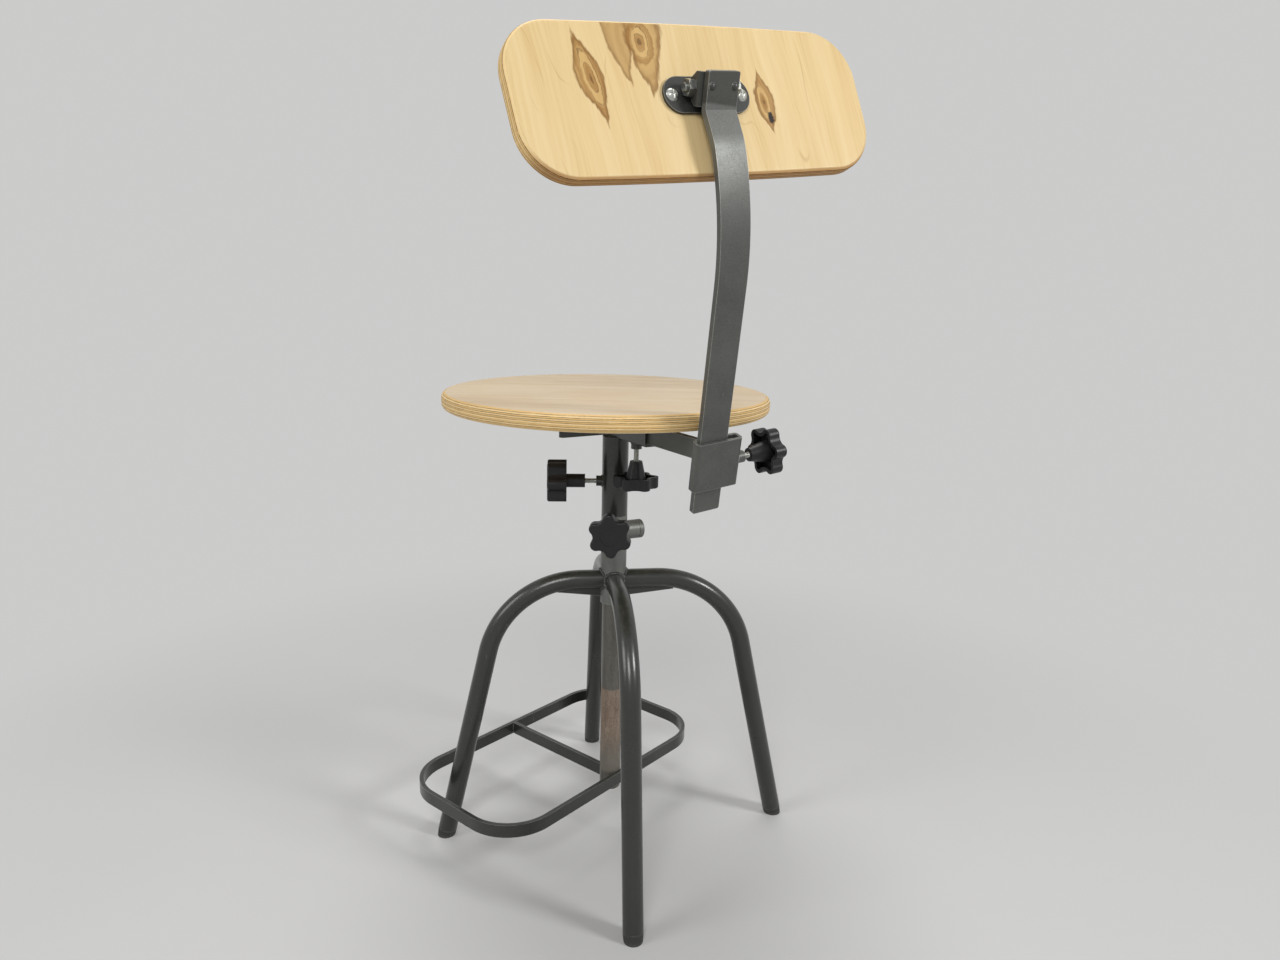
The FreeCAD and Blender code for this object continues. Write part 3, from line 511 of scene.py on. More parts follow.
def spindleSteel():
    # worn sliding tube: a bare rusty stretch with a sharp upper end and a grey foot, greased grey elsewhere
    look = spindleLook
    material, shader, here = startMaterial("spindleSteel")
    height = splitOf(here)["Z"]
    blotch = noiseOf(stretchOf(here, look["drawn"]), *look["blotch"])
    grime = noiseOf(here, *look["grime"])
    tone = sumOf(look["grimeAndBlotch"], grime, blotch)
    foot = rangeOf(timesPlus(blotch, look["footRagged"], height), *look["foot"])
    rust = rampOf(tone, look["rust"])
    rust = mixOf(times(foot, look["footShare"]), rust, look["grey"])
    level = timesPlus(blotch, look["ragged"], height)
    bare = times(rangeOf(level, *look["lowEnd"]), rangeOf(level, *look["highEnd"]))
    shade = mixOf(bare, rampOf(tone, look["grease"]), rust)
    putAll(shader.inputs, {
        "Base Color": mixOf(scratchOf(here, look), shade, look["scratch"]),
        "Roughness": rangeOf(times(bare, tone), *look["rough"]),
        "Metallic": timesPlus(bare, *look["metallic"]),
    })
    bumpOf(shader, tone, *look["bump"])
    return material


zincLook = {
    "low": (0.40, 0.41, 0.38), "high": (0.66, 0.67, 0.63), "tones": (0.3, 0.7), "speck": 1600.0, "cloud": 180.0,
    "dull": (0.17, 0.165, 0.15), "spots": (240.0, 5.0, 0.7), "spotFade": (0.5, 0.68),
    "bright": (0.72, 0.72, 0.70), "edgeReach": 0.0005, "edgePatch": 300.0, "edgeWear": 0.6,
    "rough": (0.0, 1.0, 0.28, 0.5), "metallic": 0.95, "bump": (0.00006, 0.4),
}


def zincPlate(name, tint, dullness):
    # plated fasteners: faint crystal clouds, dull spots and bright edges
    look = zincLook
    material, shader, here = startMaterial(name)
    paint = useGroup(sprayPaint, Vector=here, Speck=look["speck"], Cloud=look["cloud"])
    low, high = ([value * tint for value in look[end]] for end in ("low", "high"))
    body = twoTones(paint["Tone"], look["tones"], low, high)
    spots = rangeOf(noiseOf(here, *look["spots"]), *look["spotFade"])
    worn = wornOf(here, look, look["edgeWear"])
    shade = mixOf(times(spots, dullness), body, look["dull"])
    putAll(shader.inputs, {
        "Base Color": mixOf(worn, shade, look["bright"]),
        "Roughness": rangeOf(spots, *look["rough"]), "Metallic": look["metallic"],
    })
    bumpOf(shader, paint["Height"], *look["bump"])
    return material


knobLook = {
    "body": (0.0065, 0.0065, 0.0075), "paler": (0.0115, 0.0115, 0.0125), "palerFade": (0.3, 0.75),
    "speck": 1900.0, "cloud": 70.0, "rubbedAndPaintedLight": (0.030, 0.030, 0.031), "edgeReach": 0.0012,
    "edgePatch": 160.0, "edgeWear": 0.7, "dust": (0.20, 0.19, 0.175), "dustAmount": 0.06,
    "rough": (0.50, 0.34), "gloss": 0.4, "bump": (0.00008, 0.6),
}


def knobPlastic():
    # moulded black plastic with a fine spark-eroded grain, paler on its rubbed edges
    look = knobLook
    material, shader, here = startMaterial("knobPlastic")
    grain = useGroup(sprayPaint, Vector=here, Speck=look["speck"], Cloud=look["cloud"])
    worn = wornOf(here, look, look["edgeWear"])
    film = useGroup(dustFilm, Vector=here, Amount=look["dustAmount"])["Dust"]
    paler = rangeOf(grain["Tone"], *look["palerFade"])
    shade = mixOf(worn, mixOf(paler, look["body"], look["paler"]), look["rubbedAndPaintedLight"])
    putAll(shader.inputs, {
        "Base Color": mixOf(film, shade, look["dust"]),
        "Roughness": roughOf(grain["Tone"], look["rough"]), "Specular IOR Level": look["gloss"],
    })
    bumpOf(shader, grain["Height"], *look["bump"])
    return material


plugLook = {
    "dark": (0.020, 0.0205, 0.019), "light": (0.038, 0.039, 0.036), "tones": (0.3, 0.7),
    "speck": 1200.0, "cloud": 90.0, "scuffed": (0.085, 0.082, 0.076), "scuffFade": (0.009, 0.003),
    "scuffShare": 0.6, "ragged": (300.0, 4.0, 0.7), "raggedBy": 0.008, "rough": (0.6, 0.85),
    "bump": (0.0001, 0.6),
}


def plugRubber():
    # dull black rubber, scuffed grey towards the floor
    look = plugLook
    material, shader, here = startMaterial("plugRubber")
    grain = useGroup(sprayPaint, Vector=here, Speck=look["speck"], Cloud=look["cloud"])
    height = splitOf(here)["Z"]
    ragged = timesPlus(noiseOf(here, *look["ragged"]), look["raggedBy"], height)
    scuffed = times(rangeOf(ragged, *look["scuffFade"]), look["scuffShare"])
    body = twoTones(grain["Tone"], look["tones"], look["dark"], look["light"])
    putAll(shader.inputs, {
        "Base Color": mixOf(scuffed, body, look["scuffed"]),
        "Roughness": roughOf(grain["Tone"], look["rough"]),
    })
    bumpOf(shader, grain["Height"], *look["bump"])
    return material


# what the two plywood boards share
board = {
    "tone": [
        (0.05, (0.44, 0.24, 0.075)), (0.35, (0.69, 0.44, 0.160)),
        (0.6, (0.87, 0.62, 0.285)), (0.95, (0.93, 0.74, 0.43)),
    ],
    "glue": (0.085, 0.036, 0.011), "edgeRough": 0.14, "grainRelief": 0.35, "bump": (0.00012, 0.5),
}


def boardFace(grain, look):
    face = rampOf(grain["Figure"], look["face"])
    return mixOf(times(grain["Pores"], look["poreShare"]), face, look["pore"])


def boardEdge(at, depth, look):
    # stripes of the edge, where they show between the faces, and their relief
    ply = useGroup(plyEdge, Vector=at, Depth=depth, Layers=look["layers"])
    stripes = mixOf(ply["Glue"], rampOf(ply["Tone"], board["tone"]), board["glue"])
    start, full = look["edge"]
    shown = times(rangeOf(depth, start, full), rangeOf(depth, 1.0 - start, 1.0 - full))
    return stripes, shown, times(shown, ply["Height"])


def boardFinish(shader, look, shade, rough, shown, relief, grain):
    putAll(shader.inputs, {
        "Base Color": shade, "Roughness": timesPlus(shown, board["edgeRough"], rough),
        "Specular IOR Level": look["gloss"],
    })
    bumpOf(shader, timesPlus(grain["Height"], board["grainRelief"], relief), *board["bump"])


seatLow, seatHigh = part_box("seat_panel")
seatLook = {
    "along": (-0.854, 0.519, 0.0), "across": (0.519, 0.854, 0.0),       # the grain's direction
    "underside": seatLow.z, "thickness": seatHigh.z - seatLow.z, "layers": 10.0, "edge": (0.005, 0.03),
    "face": [(0.3, (0.52, 0.385, 0.225)), (0.5, (0.665, 0.52, 0.335)), (0.7, (0.74, 0.605, 0.41))],
    "pore": (0.40, 0.27, 0.14), "poreShare": 0.35, "smudge": (0.47, 0.335, 0.19),
    "smudges": (16.0, 4.0, 0.6), "smudgeFade": (0.35, 0.7), "smudgeShare": 0.12,
    "rough": (0.0, 1.0, 0.36, 0.46), "gloss": 0.4,
}


def seatBirch():
    # birch plywood disc: golden varnished face with the grain laid on a slant, striped edge between the faces
    look = seatLook
    material, shader, here = startMaterial("seatBirch")
    across, along = (vectorOf("DOT_PRODUCT", here, look[way]) for way in ("across", "along"))
    height = splitOf(here)["Z"]
    depth = mathOf("DIVIDE", less(height, look["underside"]), look["thickness"])
    grain = useGroup(birchGrain, Vector=joinOf(across, height, along))
    stripes, shown, relief = boardEdge(here, depth, look)
    shade = mixOf(shown, boardFace(grain, look), stripes)
    smudge = rangeOf(noiseOf(here, *look["smudges"]), *look["smudgeFade"])
    shade = mixOf(times(smudge, look["smudgeShare"]), shade, look["smudge"])
    rough = rangeOf(smudge, *look["rough"])
    boardFinish(shader, look, shade, rough, shown, relief, grain)
    return material


# the panel's axes: origin on its rear face, X across, Y to the rear and Z up, from the pivot of its hinge
panelLook = {
    "backLean": 15.4, "sideLean": 6.17, "tilt": 20.0, "fromPivot": (-0.0007, -0.011, -0.0034),
    "thickness": 0.015, "layers": 7.0, "edge": (0.006, 0.035),
    "face": [(0.28, (0.70, 0.475, 0.205)), (0.48, (0.81, 0.605, 0.305)), (0.7, (0.87, 0.685, 0.38))],
    "pore": (0.58, 0.37, 0.15), "poreShare": 0.3, "grainBend": -0.55,
    "lowEdgePaintedShade": (0.62, 0.50, 0.42), "lowFade": (-0.034, -0.062),   # painted shade: the lower edge is made darker
    "rough": (0.3, 0.7, 0.50, 0.40), "gloss": 0.25,
}
# each knot in the panel's X and Z: centre, half sizes, lean, taper, its heart and the heart's spread, rings,
# their reach, and how strong its brown is
panelKnots = [
    {
        "centre": (0.1072, 0.0168), "size": (0.0122, 0.0475), "lean": 9.8, "taper": 2.2,
        "heart": (0.1068, 0.0166), "spread": (0.0036, 0.0130), "rings": 8.0, "reach": 2.9, "dark": 0.97,
    },
    {
        "centre": (0.0745, 0.0660), "size": (0.0135, 0.0570), "lean": 2.5, "taper": 1.2,
        "heart": (0.0535, 0.0479), "spread": (0.0058, 0.0092), "rings": 10.0, "reach": 1.9, "dark": 0.86,
    },
    {
        "centre": (0.0495, 0.0600), "size": (0.0180, 0.0620), "lean": -2.0, "taper": 1.4,
        "heart": (0.0535, 0.0479), "spread": (0.0058, 0.0092), "rings": 10.0, "reach": 2.6, "dark": 0.93,
    },
    {
        "centre": (-0.0605, -0.0030), "size": (0.0112, 0.0310), "lean": 4.3, "taper": 1.7,
        "heart": (-0.0597, -0.0040), "spread": (0.0030, 0.0085), "rings": 7.5, "reach": 2.7, "dark": 0.97,
    },
]
knotBrowns = {
    "pale": (0.69, 0.450, 0.175), "deep": (0.37, 0.185, 0.046), "streak": (0.62, 0.36),
    "bandAndStreak": (0.75, 0.35), "tip": (0.53, 0.330, 0.122), "tipShare": 0.8,
    "rim": (0.235, 0.108, 0.026), "rimShare": 0.7, "line": (0.150, 0.062, 0.013),
    "ringShare": 0.78, "coreShare": 0.85,
}
panelArcs = {
    "shade": (0.50, 0.29, 0.10), "share": 0.5, "drawn": (13.0, 0.0, 4.5), "wide": (1.0, 1.5, 0.4),
    "count": 9.0, "line": (0.035, 0.0), "patch": (23.0, 1.0, 0.5), "shown": (0.5, 0.7),
}
panelSpecks = {
    "shade": (0.30, 0.15, 0.045), "share": 0.7, "scale": 34.0, "few": 0.72, "dot": (0.034, 0.016),
}
panelBark = {
    "shade": (0.022, 0.013, 0.009), "at": (-0.0632, -0.0180), "squash": 0.55, "ragged": (420.0, 3.0, 0.6),
    "raggedBy": 0.004, "edge": (0.0058, 0.0042),
}
leanAway = math.radians(panelLook["backLean"])
behind = Vector((0.0, math.cos(leanAway), -math.sin(leanAway)))
panelTurn = Matrix.Rotation(math.radians(panelLook["sideLean"]), 3, behind)
panelTurn = panelTurn @ Matrix.Rotation(math.radians(panelLook["tilt"]), 3, "X")
panelMiddle = Vector(joints["tilt"]["pos_m"]) + panelTurn @ Vector(panelLook["fromPivot"])


def inPanel(pair, depth=0.0):
    # across and up in the panel, as a vector
    return (pair[0], depth, pair[1])


def knotOf(onPanel, knot):
    return useGroup(
        knotField, Vector=onPanel, Centre=inPanel(knot["centre"]), Size=inPanel(knot["size"], 1.0),
        Turn=(0.0, math.radians(knot["lean"]), 0.0), Taper=knot["taper"], Heart=inPanel(knot["heart"]),
        Spread=inPanel(knot["spread"], 1.0), Rings=knot["rings"], Reach=knot["reach"],
    )


def knotBrown(field, figure):
    # pale to deep brown in bands and streaks, then the tips, the rim, and thin rings with the heart
    look = knotBrowns
    streak = rangeOf(figure, *look["streak"])
    deep = sumOf(look["bandAndStreak"], field["Band"], streak, True)
    brown = mixOf(deep, look["pale"], look["deep"])
    brown = mixOf(times(field["Tip"], look["tipShare"]), brown, look["tip"])
    brown = mixOf(times(field["Rim"], look["rimShare"]), brown, look["rim"])
    ring = times(field["Ring"], look["ringShare"])
    core = times(field["Core"], look["coreShare"])
    return mixOf(mathOf("MAXIMUM", ring, core), brown, look["line"])


def arcsOf(onPanel, bentGrain):
    # thin contour lines of a slow noise, in patches
    look = panelArcs
    wide = noiseOf(stretchOf(bentGrain, look["drawn"]), *look["wide"])
    contour = mathOf("PINGPONG", times(wide, look["count"]), 0.5)
    patch = rangeOf(noiseOf(onPanel, *look["patch"]), *look["shown"])
    lines = times(rangeOf(contour, *look["line"]), patch)
    return times(lines, look["share"])


def specksOf(flat):
    # a small dot in a few cells
    look = panelSpecks
    cells = nodeFor("ShaderNodeTexVoronoi", flat)
    putAll(cells.inputs, {"Vector": flat, "Scale": look["scale"]})
    few = mathOf("GREATER_THAN", splitOf(cells.outputs["Color"])["X"], look["few"])
    dots = times(rangeOf(cells.outputs["Distance"], *look["dot"]), few)
    return times(dots, look["share"])


def barkOf(onPanel, part):
    # a ragged oval of bark at the foot of one knot
    look = panelBark
    across, up = look["at"]
    flat = joinOf(part["X"], 0.0, times(part["Z"], look["squash"]))
    way = vectorOf("DISTANCE", flat, inPanel((across, up * look["squash"])))
    ragged = timesPlus(noiseOf(onPanel, *look["ragged"]), look["raggedBy"], way)
    return rangeOf(ragged, *look["edge"])


def backBirch():
    # birch plywood backrest: pale face with upright grain that bends round brown knots, striped edge
    look = panelLook
    material, shader, here = startMaterial("backBirch")
    onPanel = placeOf(here, panelMiddle, panelTurn.to_euler())
    part = splitOf(onPanel)
    depth = mathOf("DIVIDE", mathOf("ADD", part["Y"], look["thickness"]), look["thickness"])
    rear = mathOf("GREATER_THAN", depth, 0.5)     # the knots are in the rear veneer only
    fields = [knotOf(onPanel, knot) for knot in panelKnots]
    across = part["X"]
    for knot, field in zip(panelKnots, fields):
        push = times(field["Push"], rear)
        across = timesPlus(push, look["grainBend"] * knot["size"][0], across)
    grain = useGroup(birchGrain, Vector=joinOf(across, part["Y"], part["Z"]))
    face = boardFace(grain, look)
    arcs = arcsOf(onPanel, joinOf(across, 0.0, part["Z"]))
    face = mixOf(arcs, face, panelArcs["shade"])
    specks = specksOf(joinOf(part["X"], 0.0, part["Z"]))
    face = mixOf(specks, face, panelSpecks["shade"])
    for knot, field in zip(panelKnots, fields):
        inside = times(times(field["Inside"], rear), knot["dark"])
        face = mixOf(inside, face, knotBrown(field, grain["Figure"]))
    face = mixOf(times(barkOf(onPanel, part), rear), face, panelBark["shade"])
    stripes, shown, relief = boardEdge(onPanel, depth, look)
    # painted shade: the edge's stripes are darkened towards the bottom of the panel
    low = rangeOf(part["Z"], *look["lowFade"])
    stripes = mixOf(low, stripes, look["lowEdgePaintedShade"], "MULTIPLY")
    rough = rangeOf(grain["Figure"], *look["rough"])
    boardFinish(shader, look, mixOf(shown, face, stripes), rough, shown, relief, grain)
    return material


finishes = {
    "frame": greyLacquer("legEnamel"),
    "bar": greyLacquer("barLacquer"),
    "hub": greyLacquer("hubLacquer"),
    "hinge": greyLacquer("hingeLacquer"),
    "spindle": spindleSteel(),
    "zinc": zincPlate("zincScrews", 1.0, 0.5),
    "bolt": zincPlate("darkBolts", 0.5, 0.6),
    "knob": knobPlastic(),
    "rubber": plugRubber(),
    "seat": seatBirch(),
    "back": backBirch(),
}
dressing = {
    "frame": [
        "leg_rear_left", "leg_rear_right", "leg_front_right", "leg_front_left", "leg_gussets", "height_boss",
        "swivel_boss", "depth_boss", "seat_tube", "depth_guide", "cross_bar_front", "cross_bar_rear",
        "footrest_hoop", "footrest_cross_strip",
    ],
    "bar": ["depth_bar", "bar_sleeve", "sleeve_boss", "back_bar"],
    "hub": ["hub_tube", "brake_boss", "brake_plug"],
    "hinge": ["tilt_bracket", "hinge_plate", "bracket_rivets"],
    "spindle": ["spindle_tube", "spindle_top_plug", "spindle_end_plug", "thrust_plug"],
    "zinc": [
        "hinge_screws", "seat_screws", "height_screw", "swivel_screw", "depth_screw", "back_screw",
        "pivot_spacer",
    ],
    "bolt": ["pivot_bolt", "pivot_nut"],
    "knob": ["height_knob", "swivel_knob", "depth_knob", "back_knob"],
    "rubber": ["foot_plugs"],
    "seat": ["seat_panel"],
    "back": ["backrest_panel"],
}
for finish, members in dressing.items():
    for member in members:
        nodes[member].data.materials.clear()
        nodes[member].data.materials.append(finishes[finish])
print("materials on", sum(len(members) for members in dressing.values()), "nodes")


# Surfaces from grids

def skin(grid, closed):
    # grid[i, j]: i goes along the run and j round each ring; quads join a ring to the next, and a fan closes
    # each end of a run that is not a loop
    count, sides = grid.shape[:2]
    index = np.arange(count * sides).reshape(count, sides)
    here = index if closed else index[:-1]
    there = np.roll(index, -1, 0) if closed else index[1:]
    quads = np.stack([here, np.roll(here, -1, 1), np.roll(there, -1, 1), there], -1).reshape(-1, 4)
    points = grid.reshape(-1, 3)
    fans = np.zeros((0, 3), int)
    if not closed:
        points = np.vstack([points, grid[0].mean(0), grid[-1].mean(0)])
        first = np.stack([np.roll(index[0], -1), index[0], np.full(sides, count * sides)], -1)
        last = np.stack([index[-1], np.roll(index[-1], -1), np.full(sides, count * sides + 1)], -1)
        fans = np.vstack([first, last])
    corners = np.vstack([quads[:, [0, 1, 2]], quads[:, [0, 2, 3]], fans])
    a, b, c = (points[corners[:, k]] for k in range(3))
    if np.einsum("ij,ij->i", a, np.cross(b, c)).sum() < 0.0:    # inside out, so every face is turned round
        quads = quads[:, ::-1]
        fans = fans[:, ::-1]
    return points, quads, fans


def addObject(name, data):
    made = bpy.data.objects.new(name, data)
    scene.collection.objects.link(made)
    return made


def makePiece(name, skins, finish, body):
    # several skins become one mesh, in metres, in the frame
    pointSets, quadSets, fanSets = zip(*skins)
    offsets = np.cumsum([0] + [len(points) for points in pointSets])
    quads = np.vstack([faces + offset for faces, offset in zip(quadSets, offsets)])
    fans = np.vstack([faces + offset for faces, offset in zip(fanSets, offsets)])
    mesh = bpy.data.meshes.new(name)
    mesh.from_pydata(np.vstack(pointSets).tolist(), [], quads.tolist() + fans.tolist())
    mesh.polygons.foreach_set("use_smooth", np.ones(len(mesh.polygons), bool))
    mesh.materials.append(finishes[finish])
    piece = addObject(name, mesh)
    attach(piece, body)
    return piece


def unit(vector):
    vector = np.asarray(vector, float)
    return vector / np.linalg.norm(vector)


def heading(degrees):
    return np.array([math.cos(math.radians(degrees)), math.sin(math.radians(degrees)), 0.0])


def roundTurn(count):
    return np.linspace(0.0, 2.0 * np.pi, count, endpoint=False)


sideways, rearwards, upright = np.eye(3)
bothSides = (-1.0, 1.0)


# Weld beads

# slow: how much a bead swells over several ripples, how slowly, and where that begins; tip: its least end
weld = {
    "pitch": 0.0021, "ripple": 0.13, "skew": 0.9, "sides": 12, "perRipple": 7, "fewest": 14,
    "slow": (0.06, 0.31, 1.3), "tip": 0.001,
}


def pointsAlong(length):
    return int(length / weld["pitch"] * weld["perRipple"])


def bead(path, sideA, sideB, radius, closed=False):
    # a round profile carried along the path, its two sides given at each point or once for all; its radius
    # swells once per ripple, later on one flank than on the other, and an open run rounds off at both ends
    gaps = np.linalg.norm(np.diff(path, axis=0), axis=1)
    run = np.concatenate([[0.0], np.cumsum(gaps)])
    total = run[-1] + (np.linalg.norm(path[0] - path[-1]) if closed else 0.0)
    ripples = max(round(total / weld["pitch"]), 2)
    angle = roundTurn(weld["sides"])
    phase = 2.0 * np.pi * ripples * run / total
    swell = 1.0 + weld["ripple"] * np.cos(phase[:, None] + weld["skew"] * np.cos(angle)[None, :])
    amount, rate, begin = weld["slow"]
    swell = swell * (1.0 + amount * np.sin(phase * rate + begin))[:, None]
    if not closed:
        near = np.clip(np.minimum(run, total - run) / radius, 0.0, 1.0)
        swell = swell * np.sqrt(np.clip(1.0 - (1.0 - near) ** 2, weld["tip"], 1.0))[:, None]
    sideA, sideB = (np.broadcast_to(side, path.shape)[:, None] for side in (sideA, sideB))
    around = np.cos(angle)[None, :, None] * sideA + np.sin(angle)[None, :, None] * sideB
    return skin(path[:, None] + radius * swell[..., None] * around, closed)


def straightBead(start, end, side, radius):
    # a run from start to end; side is one direction across it
    count = max(pointsAlong(np.linalg.norm(end - start)), weld["fewest"])
    path = start + np.linspace(0.0, 1.0, count)[:, None] * (end - start)
    ahead = unit(end - start)
    sideA = unit(side - ahead * np.dot(side, ahead))
    return bead(path, sideA, np.cross(ahead, sideA), radius)


def saddleBead(middle, aim, pipe, column, radius, mitred=False):
    # round a pipe that meets an upright column: each point of the pipe's circle moved out to the column's wall,
    # or to the mitre plane where a neighbour's pipe is nearer
    angle = roundTurn(pointsAlong(2.0 * np.pi * pipe))
    aside = pipe * np.cos(angle)
    out = np.sqrt(np.clip(column ** 2 - aside ** 2, 0.0, None))
    out = np.maximum(out, np.abs(aside)) if mitred else out
    around = np.cos(angle)[:, None] * np.cross(upright, aim) + np.sin(angle)[:, None] * upright
    path = middle + pipe * around + out[:, None] * aim
    return bead(path, around, aim, radius, True)


def ringBead(middle, wide, high, halfWide, halfHigh, squareness, radius):
    # a flat loop: a circle, or a rounded oblong where squareness is under 1
    angle = roundTurn(pointsAlong(2.0 * np.pi * max(halfWide, halfHigh)))
    cosine, sine = np.cos(angle), np.sin(angle)
    a = np.sign(cosine) * np.abs(cosine) ** squareness * halfWide
    b = np.sign(sine) * np.abs(sine) ** squareness * halfHigh
    path = middle + a[:, None] * wide + b[:, None] * high
    outwards = cosine[:, None] * wide + sine[:, None] * high
    return bead(path, outwards, np.cross(wide, high), radius, True)


# for each leg: its heading, where its bend starts and where the web under it ends, out from the column's axis;
# for each boss: its heading, height and radius
base = {
    "legs": [(67.5, 0.0495, 0.071), (157.5, 0.0515, 0.071), (247.5, 0.0495, 0.071), (337.5, 0.0395, 0.0645)],
    "legZ": 0.322, "legRadius": 0.011, "bend": 0.110, "column": 0.015, "legBead": 0.0021,
    "webFrom": 0.017, "webHalf": 0.0025, "webProud": 0.0002, "webBead": 0.0013,
    "bosses": [(55.0, 0.389, 0.006), (175.0, 0.380, 0.011)], "bossBead": 0.0011,
}


def webBead(aim, beside, bendStart, webEnd):
    # along a leg's underside: level at first, then on the arc that the bend's inner side follows
    out = np.linspace(base["webFrom"], webEnd, pointsAlong(webEnd - base["webFrom"]))
    inner = base["bend"] - math.sqrt(base["legRadius"] ** 2 - base["webHalf"] ** 2)
    level = base["legZ"] - base["bend"] + np.sqrt(inner ** 2 - np.clip(out - bendStart, 0.0, None) ** 2)
    path = out[:, None] * aim + level[:, None] * upright + beside * (base["webHalf"] + base["webProud"])
    return bead(path, beside, upright, base["webBead"])


skins = []
for angle, bendStart, webEnd in base["legs"]:
    aim = heading(angle)
    middle = upright * base["legZ"]
    skins.append(saddleBead(middle, aim, base["legRadius"], base["column"], base["legBead"], True))
    skins += [webBead(aim, np.cross(upright, aim) * side, bendStart, webEnd) for side in bothSides]
for angle, level, radius in base["bosses"]:
    skins.append(saddleBead(upright * level, heading(angle), radius, base["column"], base["bossBead"]))
makePiece("baseWelds", skins, "frame", "base")

footrest = {
    "turn": 19.0, "spindle": 0.0125, "rearFace": 0.0119, "crossHalf": 0.0025, "front": -0.1725,
    "low": 0.0625, "high": 0.0755, "bead": 0.0019,
}
ahead = heading(footrest["turn"] + 90.0)        # the footrest's own Y
low, high = upright * footrest["low"], upright * footrest["high"]
rearHalf = math.sqrt(footrest["spindle"] ** 2 - footrest["rearFace"] ** 2)
nearFace = math.sqrt(footrest["spindle"] ** 2 - footrest["crossHalf"] ** 2)
skins = []
for side in bothSides:
    beside = heading(footrest["turn"]) * side
    rear = ahead * footrest["rearFace"] + beside * rearHalf
    near = beside * footrest["crossHalf"] - ahead * nearFace
    far = beside * footrest["crossHalf"] + ahead * footrest["front"]
    for spot in (rear, near, far):
        skins.append(straightBead(spot + low, spot + high, beside * side, footrest["bead"]))
makePiece("footrestWelds", skins, "frame", "spindle")

carrier = {
    "swivelBoss": (-27.0, 0.440, 0.006), "column": 0.015, "swivelBead": 0.0011,
    "guideUnder": 0.4924, "guideHalf": 0.0073, "longReach": 0.0118, "shortReach": 0.006, "bead": 0.0015,
    "depthBoss": (0.0, 0.046), "bossRadius": 0.006, "bossBead": 0.0009,
}
angle, level, radius = carrier["swivelBoss"]
skins = [saddleBead(upright * level, heading(angle), radius, carrier["column"], carrier["swivelBead"])]
for side in bothSides:
    under = upright * carrier["guideUnder"]
    edges = [
        (under + sideways * side * carrier["guideHalf"], rearwards * carrier["longReach"]),
        (under + rearwards * side * carrier["column"], sideways * carrier["shortReach"]),
    ]
    skins += [straightBead(edge - reach, edge + reach, upright, carrier["bead"]) for edge, reach in edges]
boss = np.array([*carrier["depthBoss"], carrier["guideUnder"]])
bossRadius = carrier["bossRadius"]
skins.append(ringBead(boss, sideways, rearwards, bossRadius, bossRadius, 1.0, carrier["bossBead"]))
makePiece("carrierWelds", skins, "frame", "seat")

# the depth bar's loop on the leaning face of the sleeve
slide = {
    "lean": 15.4, "onFace": (0.0, 0.176433, 0.495726), "barMiddle": 0.5057, "halfWide": 0.0042,
    "halfHigh": 0.0103, "squareness": 0.45, "bead": 0.0016,
}
upFace = np.array([0.0, math.sin(math.radians(slide["lean"])), math.cos(math.radians(slide["lean"]))])
spot = np.array(slide["onFace"]) + upFace * (slide["barMiddle"] - slide["onFace"][2]) / upFace[2]
halfHigh = slide["halfHigh"] / upFace[2]
skins = [ringBead(spot, sideways, upFace, slide["halfWide"], halfHigh, slide["squareness"], slide["bead"])]
makePiece("sleeveWelds", skins, "bar", "depth_slide")
print("weld beads made")


# Threaded clamp screws

thread = {
    "pitch": 0.001, "crest": 0.00298, "root": 0.00246, "steep": 1.3, "flat": 0.15, "chamfer": 0.0009,
    "sides": 28, "perPitch": 8, "nearUpright": 0.9,
}


def threadedRod(tip, aim, length):
    # radius over length s and angle t: a rounded V wave of s over pitch less t over a turn, brought down to the
    # root at the tip's chamfer
    across = unit(np.cross(aim, sideways if abs(aim[2]) > thread["nearUpright"] else upright))
    other = np.cross(aim, across)
    along = np.linspace(0.0, length, int(length / thread["pitch"] * thread["perPitch"]))
    angle = roundTurn(thread["sides"])
    phase = along[:, None] / thread["pitch"] - angle[None, :] / (2.0 * np.pi)
    wave = thread["steep"] * np.abs(2.0 * (phase - np.floor(phase)) - 1.0) - thread["flat"]
    radius = thread["root"] + (thread["crest"] - thread["root"]) * np.clip(wave, 0.0, 1.0)
    limit = thread["crest"] - np.clip(thread["chamfer"] - along, 0.0, None)
    radius = np.minimum(radius, limit[:, None])
    ring = np.cos(angle)[:, None] * across + np.sin(angle)[:, None] * other
    return skin(tip + along[:, None, None] * aim + radius[..., None] * ring[None], False)


# from the screw's tip to its neck, measured along each clamp joint's own axis, plus what is inside the knob
clampScrews = {
    "swivel": (0.0128, 0.0345), "height": (0.0128, 0.0277), "back": (0.0158, 0.0465),
    "depth": (-0.0030, 0.0207),
}
insideKnob = 0.0139
for name, (start, neck) in clampScrews.items():
    joint = joints[name + "_clamp"]
    aim = unit(joint["axis"])
    rodSkin = threadedRod(np.array(joint["pos_m"]) + aim * start, aim, neck - start + insideKnob)
    rod = makePiece(name + "Thread", [rodSkin], "zinc", name + "_clamp")
    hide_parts(name + "_screw")
print("clamp screws threaded")


# Floor, light and camera

stage = {
    "half": 30.0, "lines": 5, "low": (0.62, 0.617, 0.61), "high": (0.66, 0.657, 0.65),
    "cloud": (3.0, 5.0, 0.6), "rough": 0.7, "backdrop": (0.60, 0.60, 0.595), "fade": (0.3, 1.15),
    "around": (1.0, 1.0, 1.0), "strength": 0.2,
}


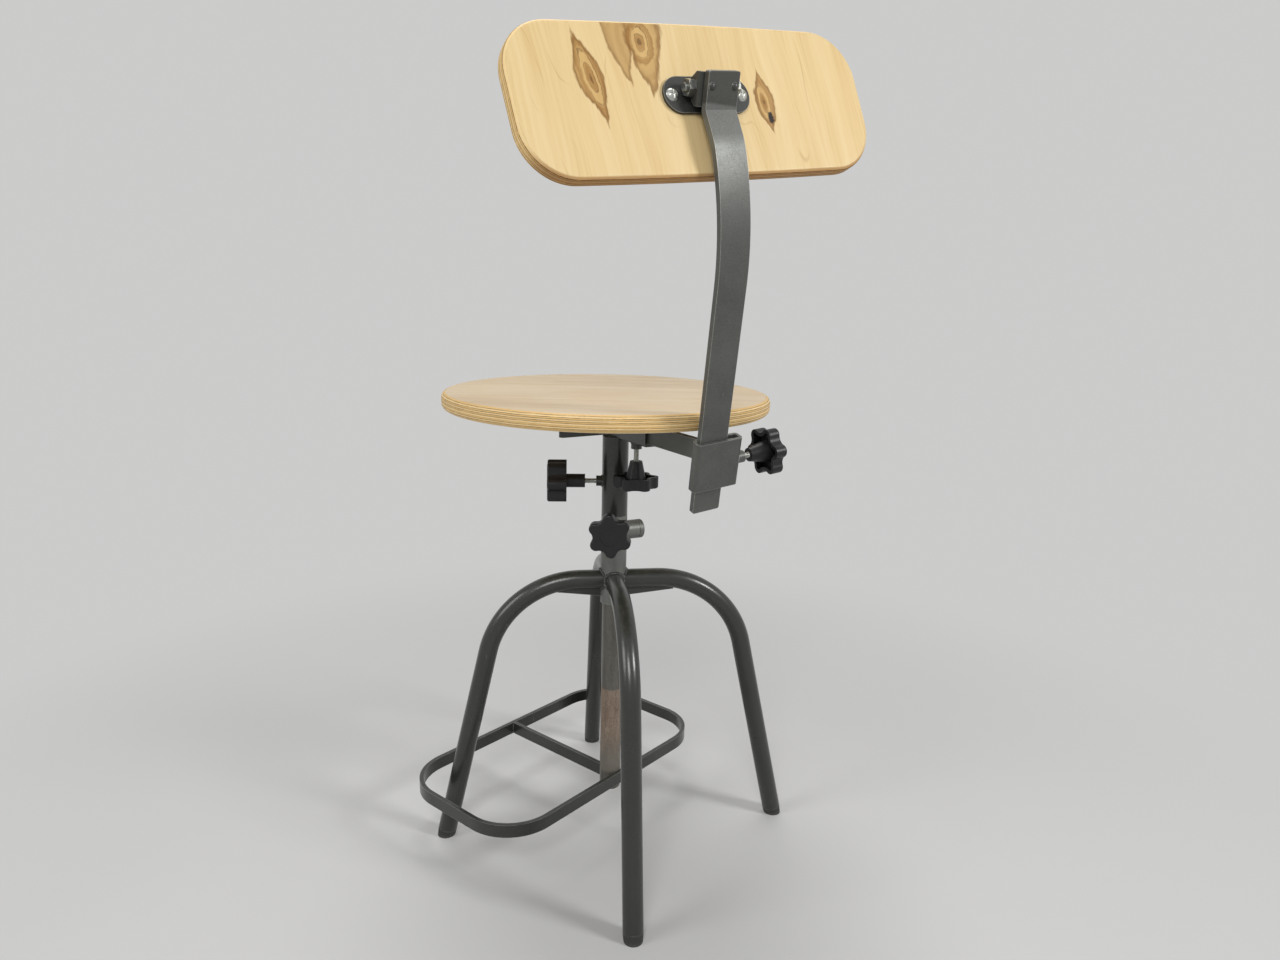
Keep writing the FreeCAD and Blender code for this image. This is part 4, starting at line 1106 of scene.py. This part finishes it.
def showBackdrop(tree, kind, usual, output, share=1.0):
    # rays straight from the camera, mirrored or through something clear show the backdrop itself, by the share
    backdrop = tree.nodes.new(kind)
    put(backdrop.inputs["Color"], stage["backdrop"])
    rays = tree.nodes.new("ShaderNodeLightPath").outputs
    seen = mathOf("MAXIMUM", rays["Is Camera Ray"], rays["Is Glossy Ray"])
    seen = mathOf("MAXIMUM", seen, rays["Is Transmission Ray"])
    choice = tree.nodes.new("ShaderNodeMixShader")
    for socket, value in zip(choice.inputs, (times(seen, share), usual.outputs[0], backdrop.outputs[0])):
        put(socket, value)
    put(tree.nodes[output].inputs["Surface"], choice.outputs[0])


def paleFloor():
    # the far floor is seen in the backdrop's own colour
    material, shader, here = startMaterial("paleFloor")
    cloud = noiseOf(here, *stage["cloud"])
    putAll(shader.inputs, {
        "Base Color": mixOf(cloud, stage["low"], stage["high"]), "Roughness": stage["rough"],
    })
    far = rangeOf(vectorOf("LENGTH", here), *stage["fade"])
    showBackdrop(material.node_tree, "ShaderNodeEmission", shader, "Material Output", far)
    return material


def lightWorld():
    world = bpy.data.worlds.new("studio")
    scene.world = world
    world.use_nodes = True
    sky = world.node_tree.nodes["Background"]
    putAll(sky.inputs, {"Color": stage["around"], "Strength": stage["strength"]})
    showBackdrop(world.node_tree, "ShaderNodeBackground", sky, "World Output")


def softLamp(name, at, towards, size, watts):
    lamp = bpy.data.lights.new(name, "AREA")
    lamp.shape = "DISK"
    lamp.size = size
    lamp.energy = watts
    holder = addObject(name, lamp)
    holder.location = at
    holder.rotation_euler = (Vector(towards) - Vector(at)).to_track_quat("-Z", "Y").to_euler()


lines = stage["lines"]
across = np.linspace(-stage["half"], stage["half"], lines)
floorGrid = np.stack(np.meshgrid(across, across, indexing="ij") + [np.zeros((lines, lines))], -1)
index = np.arange(lines * lines).reshape(lines, lines)
squares = np.stack([index[:-1, :-1], index[1:, :-1], index[1:, 1:], index[:-1, 1:]], -1).reshape(-1, 4)
floorMesh = bpy.data.meshes.new("floor")
floorMesh.from_pydata(floorGrid.reshape(-1, 3).tolist(), [], squares.tolist())
floorMesh.materials.append(paleFloor())
floor = addObject("floor", floorMesh)
lightWorld()

# each lamp: place, what it looks at, width, power
lamps = {
    "keyLamp": ((-1.22, 1.80, 1.6), (0.0, 0.1, 0.6), 0.6, 25.0),
    "frontLamp": ((1.3, 1.7, 1.9), (0.0, 0.0, 0.45), 0.9, 20.0),
    "sideLamp": ((2.2, -0.1, 1.5), (0.0, 0.0, 0.5), 1.2, 15.0),
    "topLamp": ((-0.2, -0.7, 2.6), (0.0, 0.0, 0.5), 1.2, 20.0),
}
for name, setting in lamps.items():
    softLamp(name, *setting)

view = {
    "at": (0.5096, 0.8838, 0.6707), "turn": (77.334, -1.342, 148.718), "lens": 25.55, "sensor": 36.0,
    "near": 0.01,
}
lens = bpy.data.cameras.new("photoView")
lens.sensor_fit = "HORIZONTAL"
lens.sensor_width = view["sensor"]
lens.lens = view["lens"]
lens.clip_start = view["near"]
camera = addObject("photoView", lens)
camera.location = view["at"]
camera.rotation_euler = [math.radians(angle) for angle in view["turn"]]
scene.camera = camera
print("floor, lamps and camera set")

bpy.context.view_layer.update()
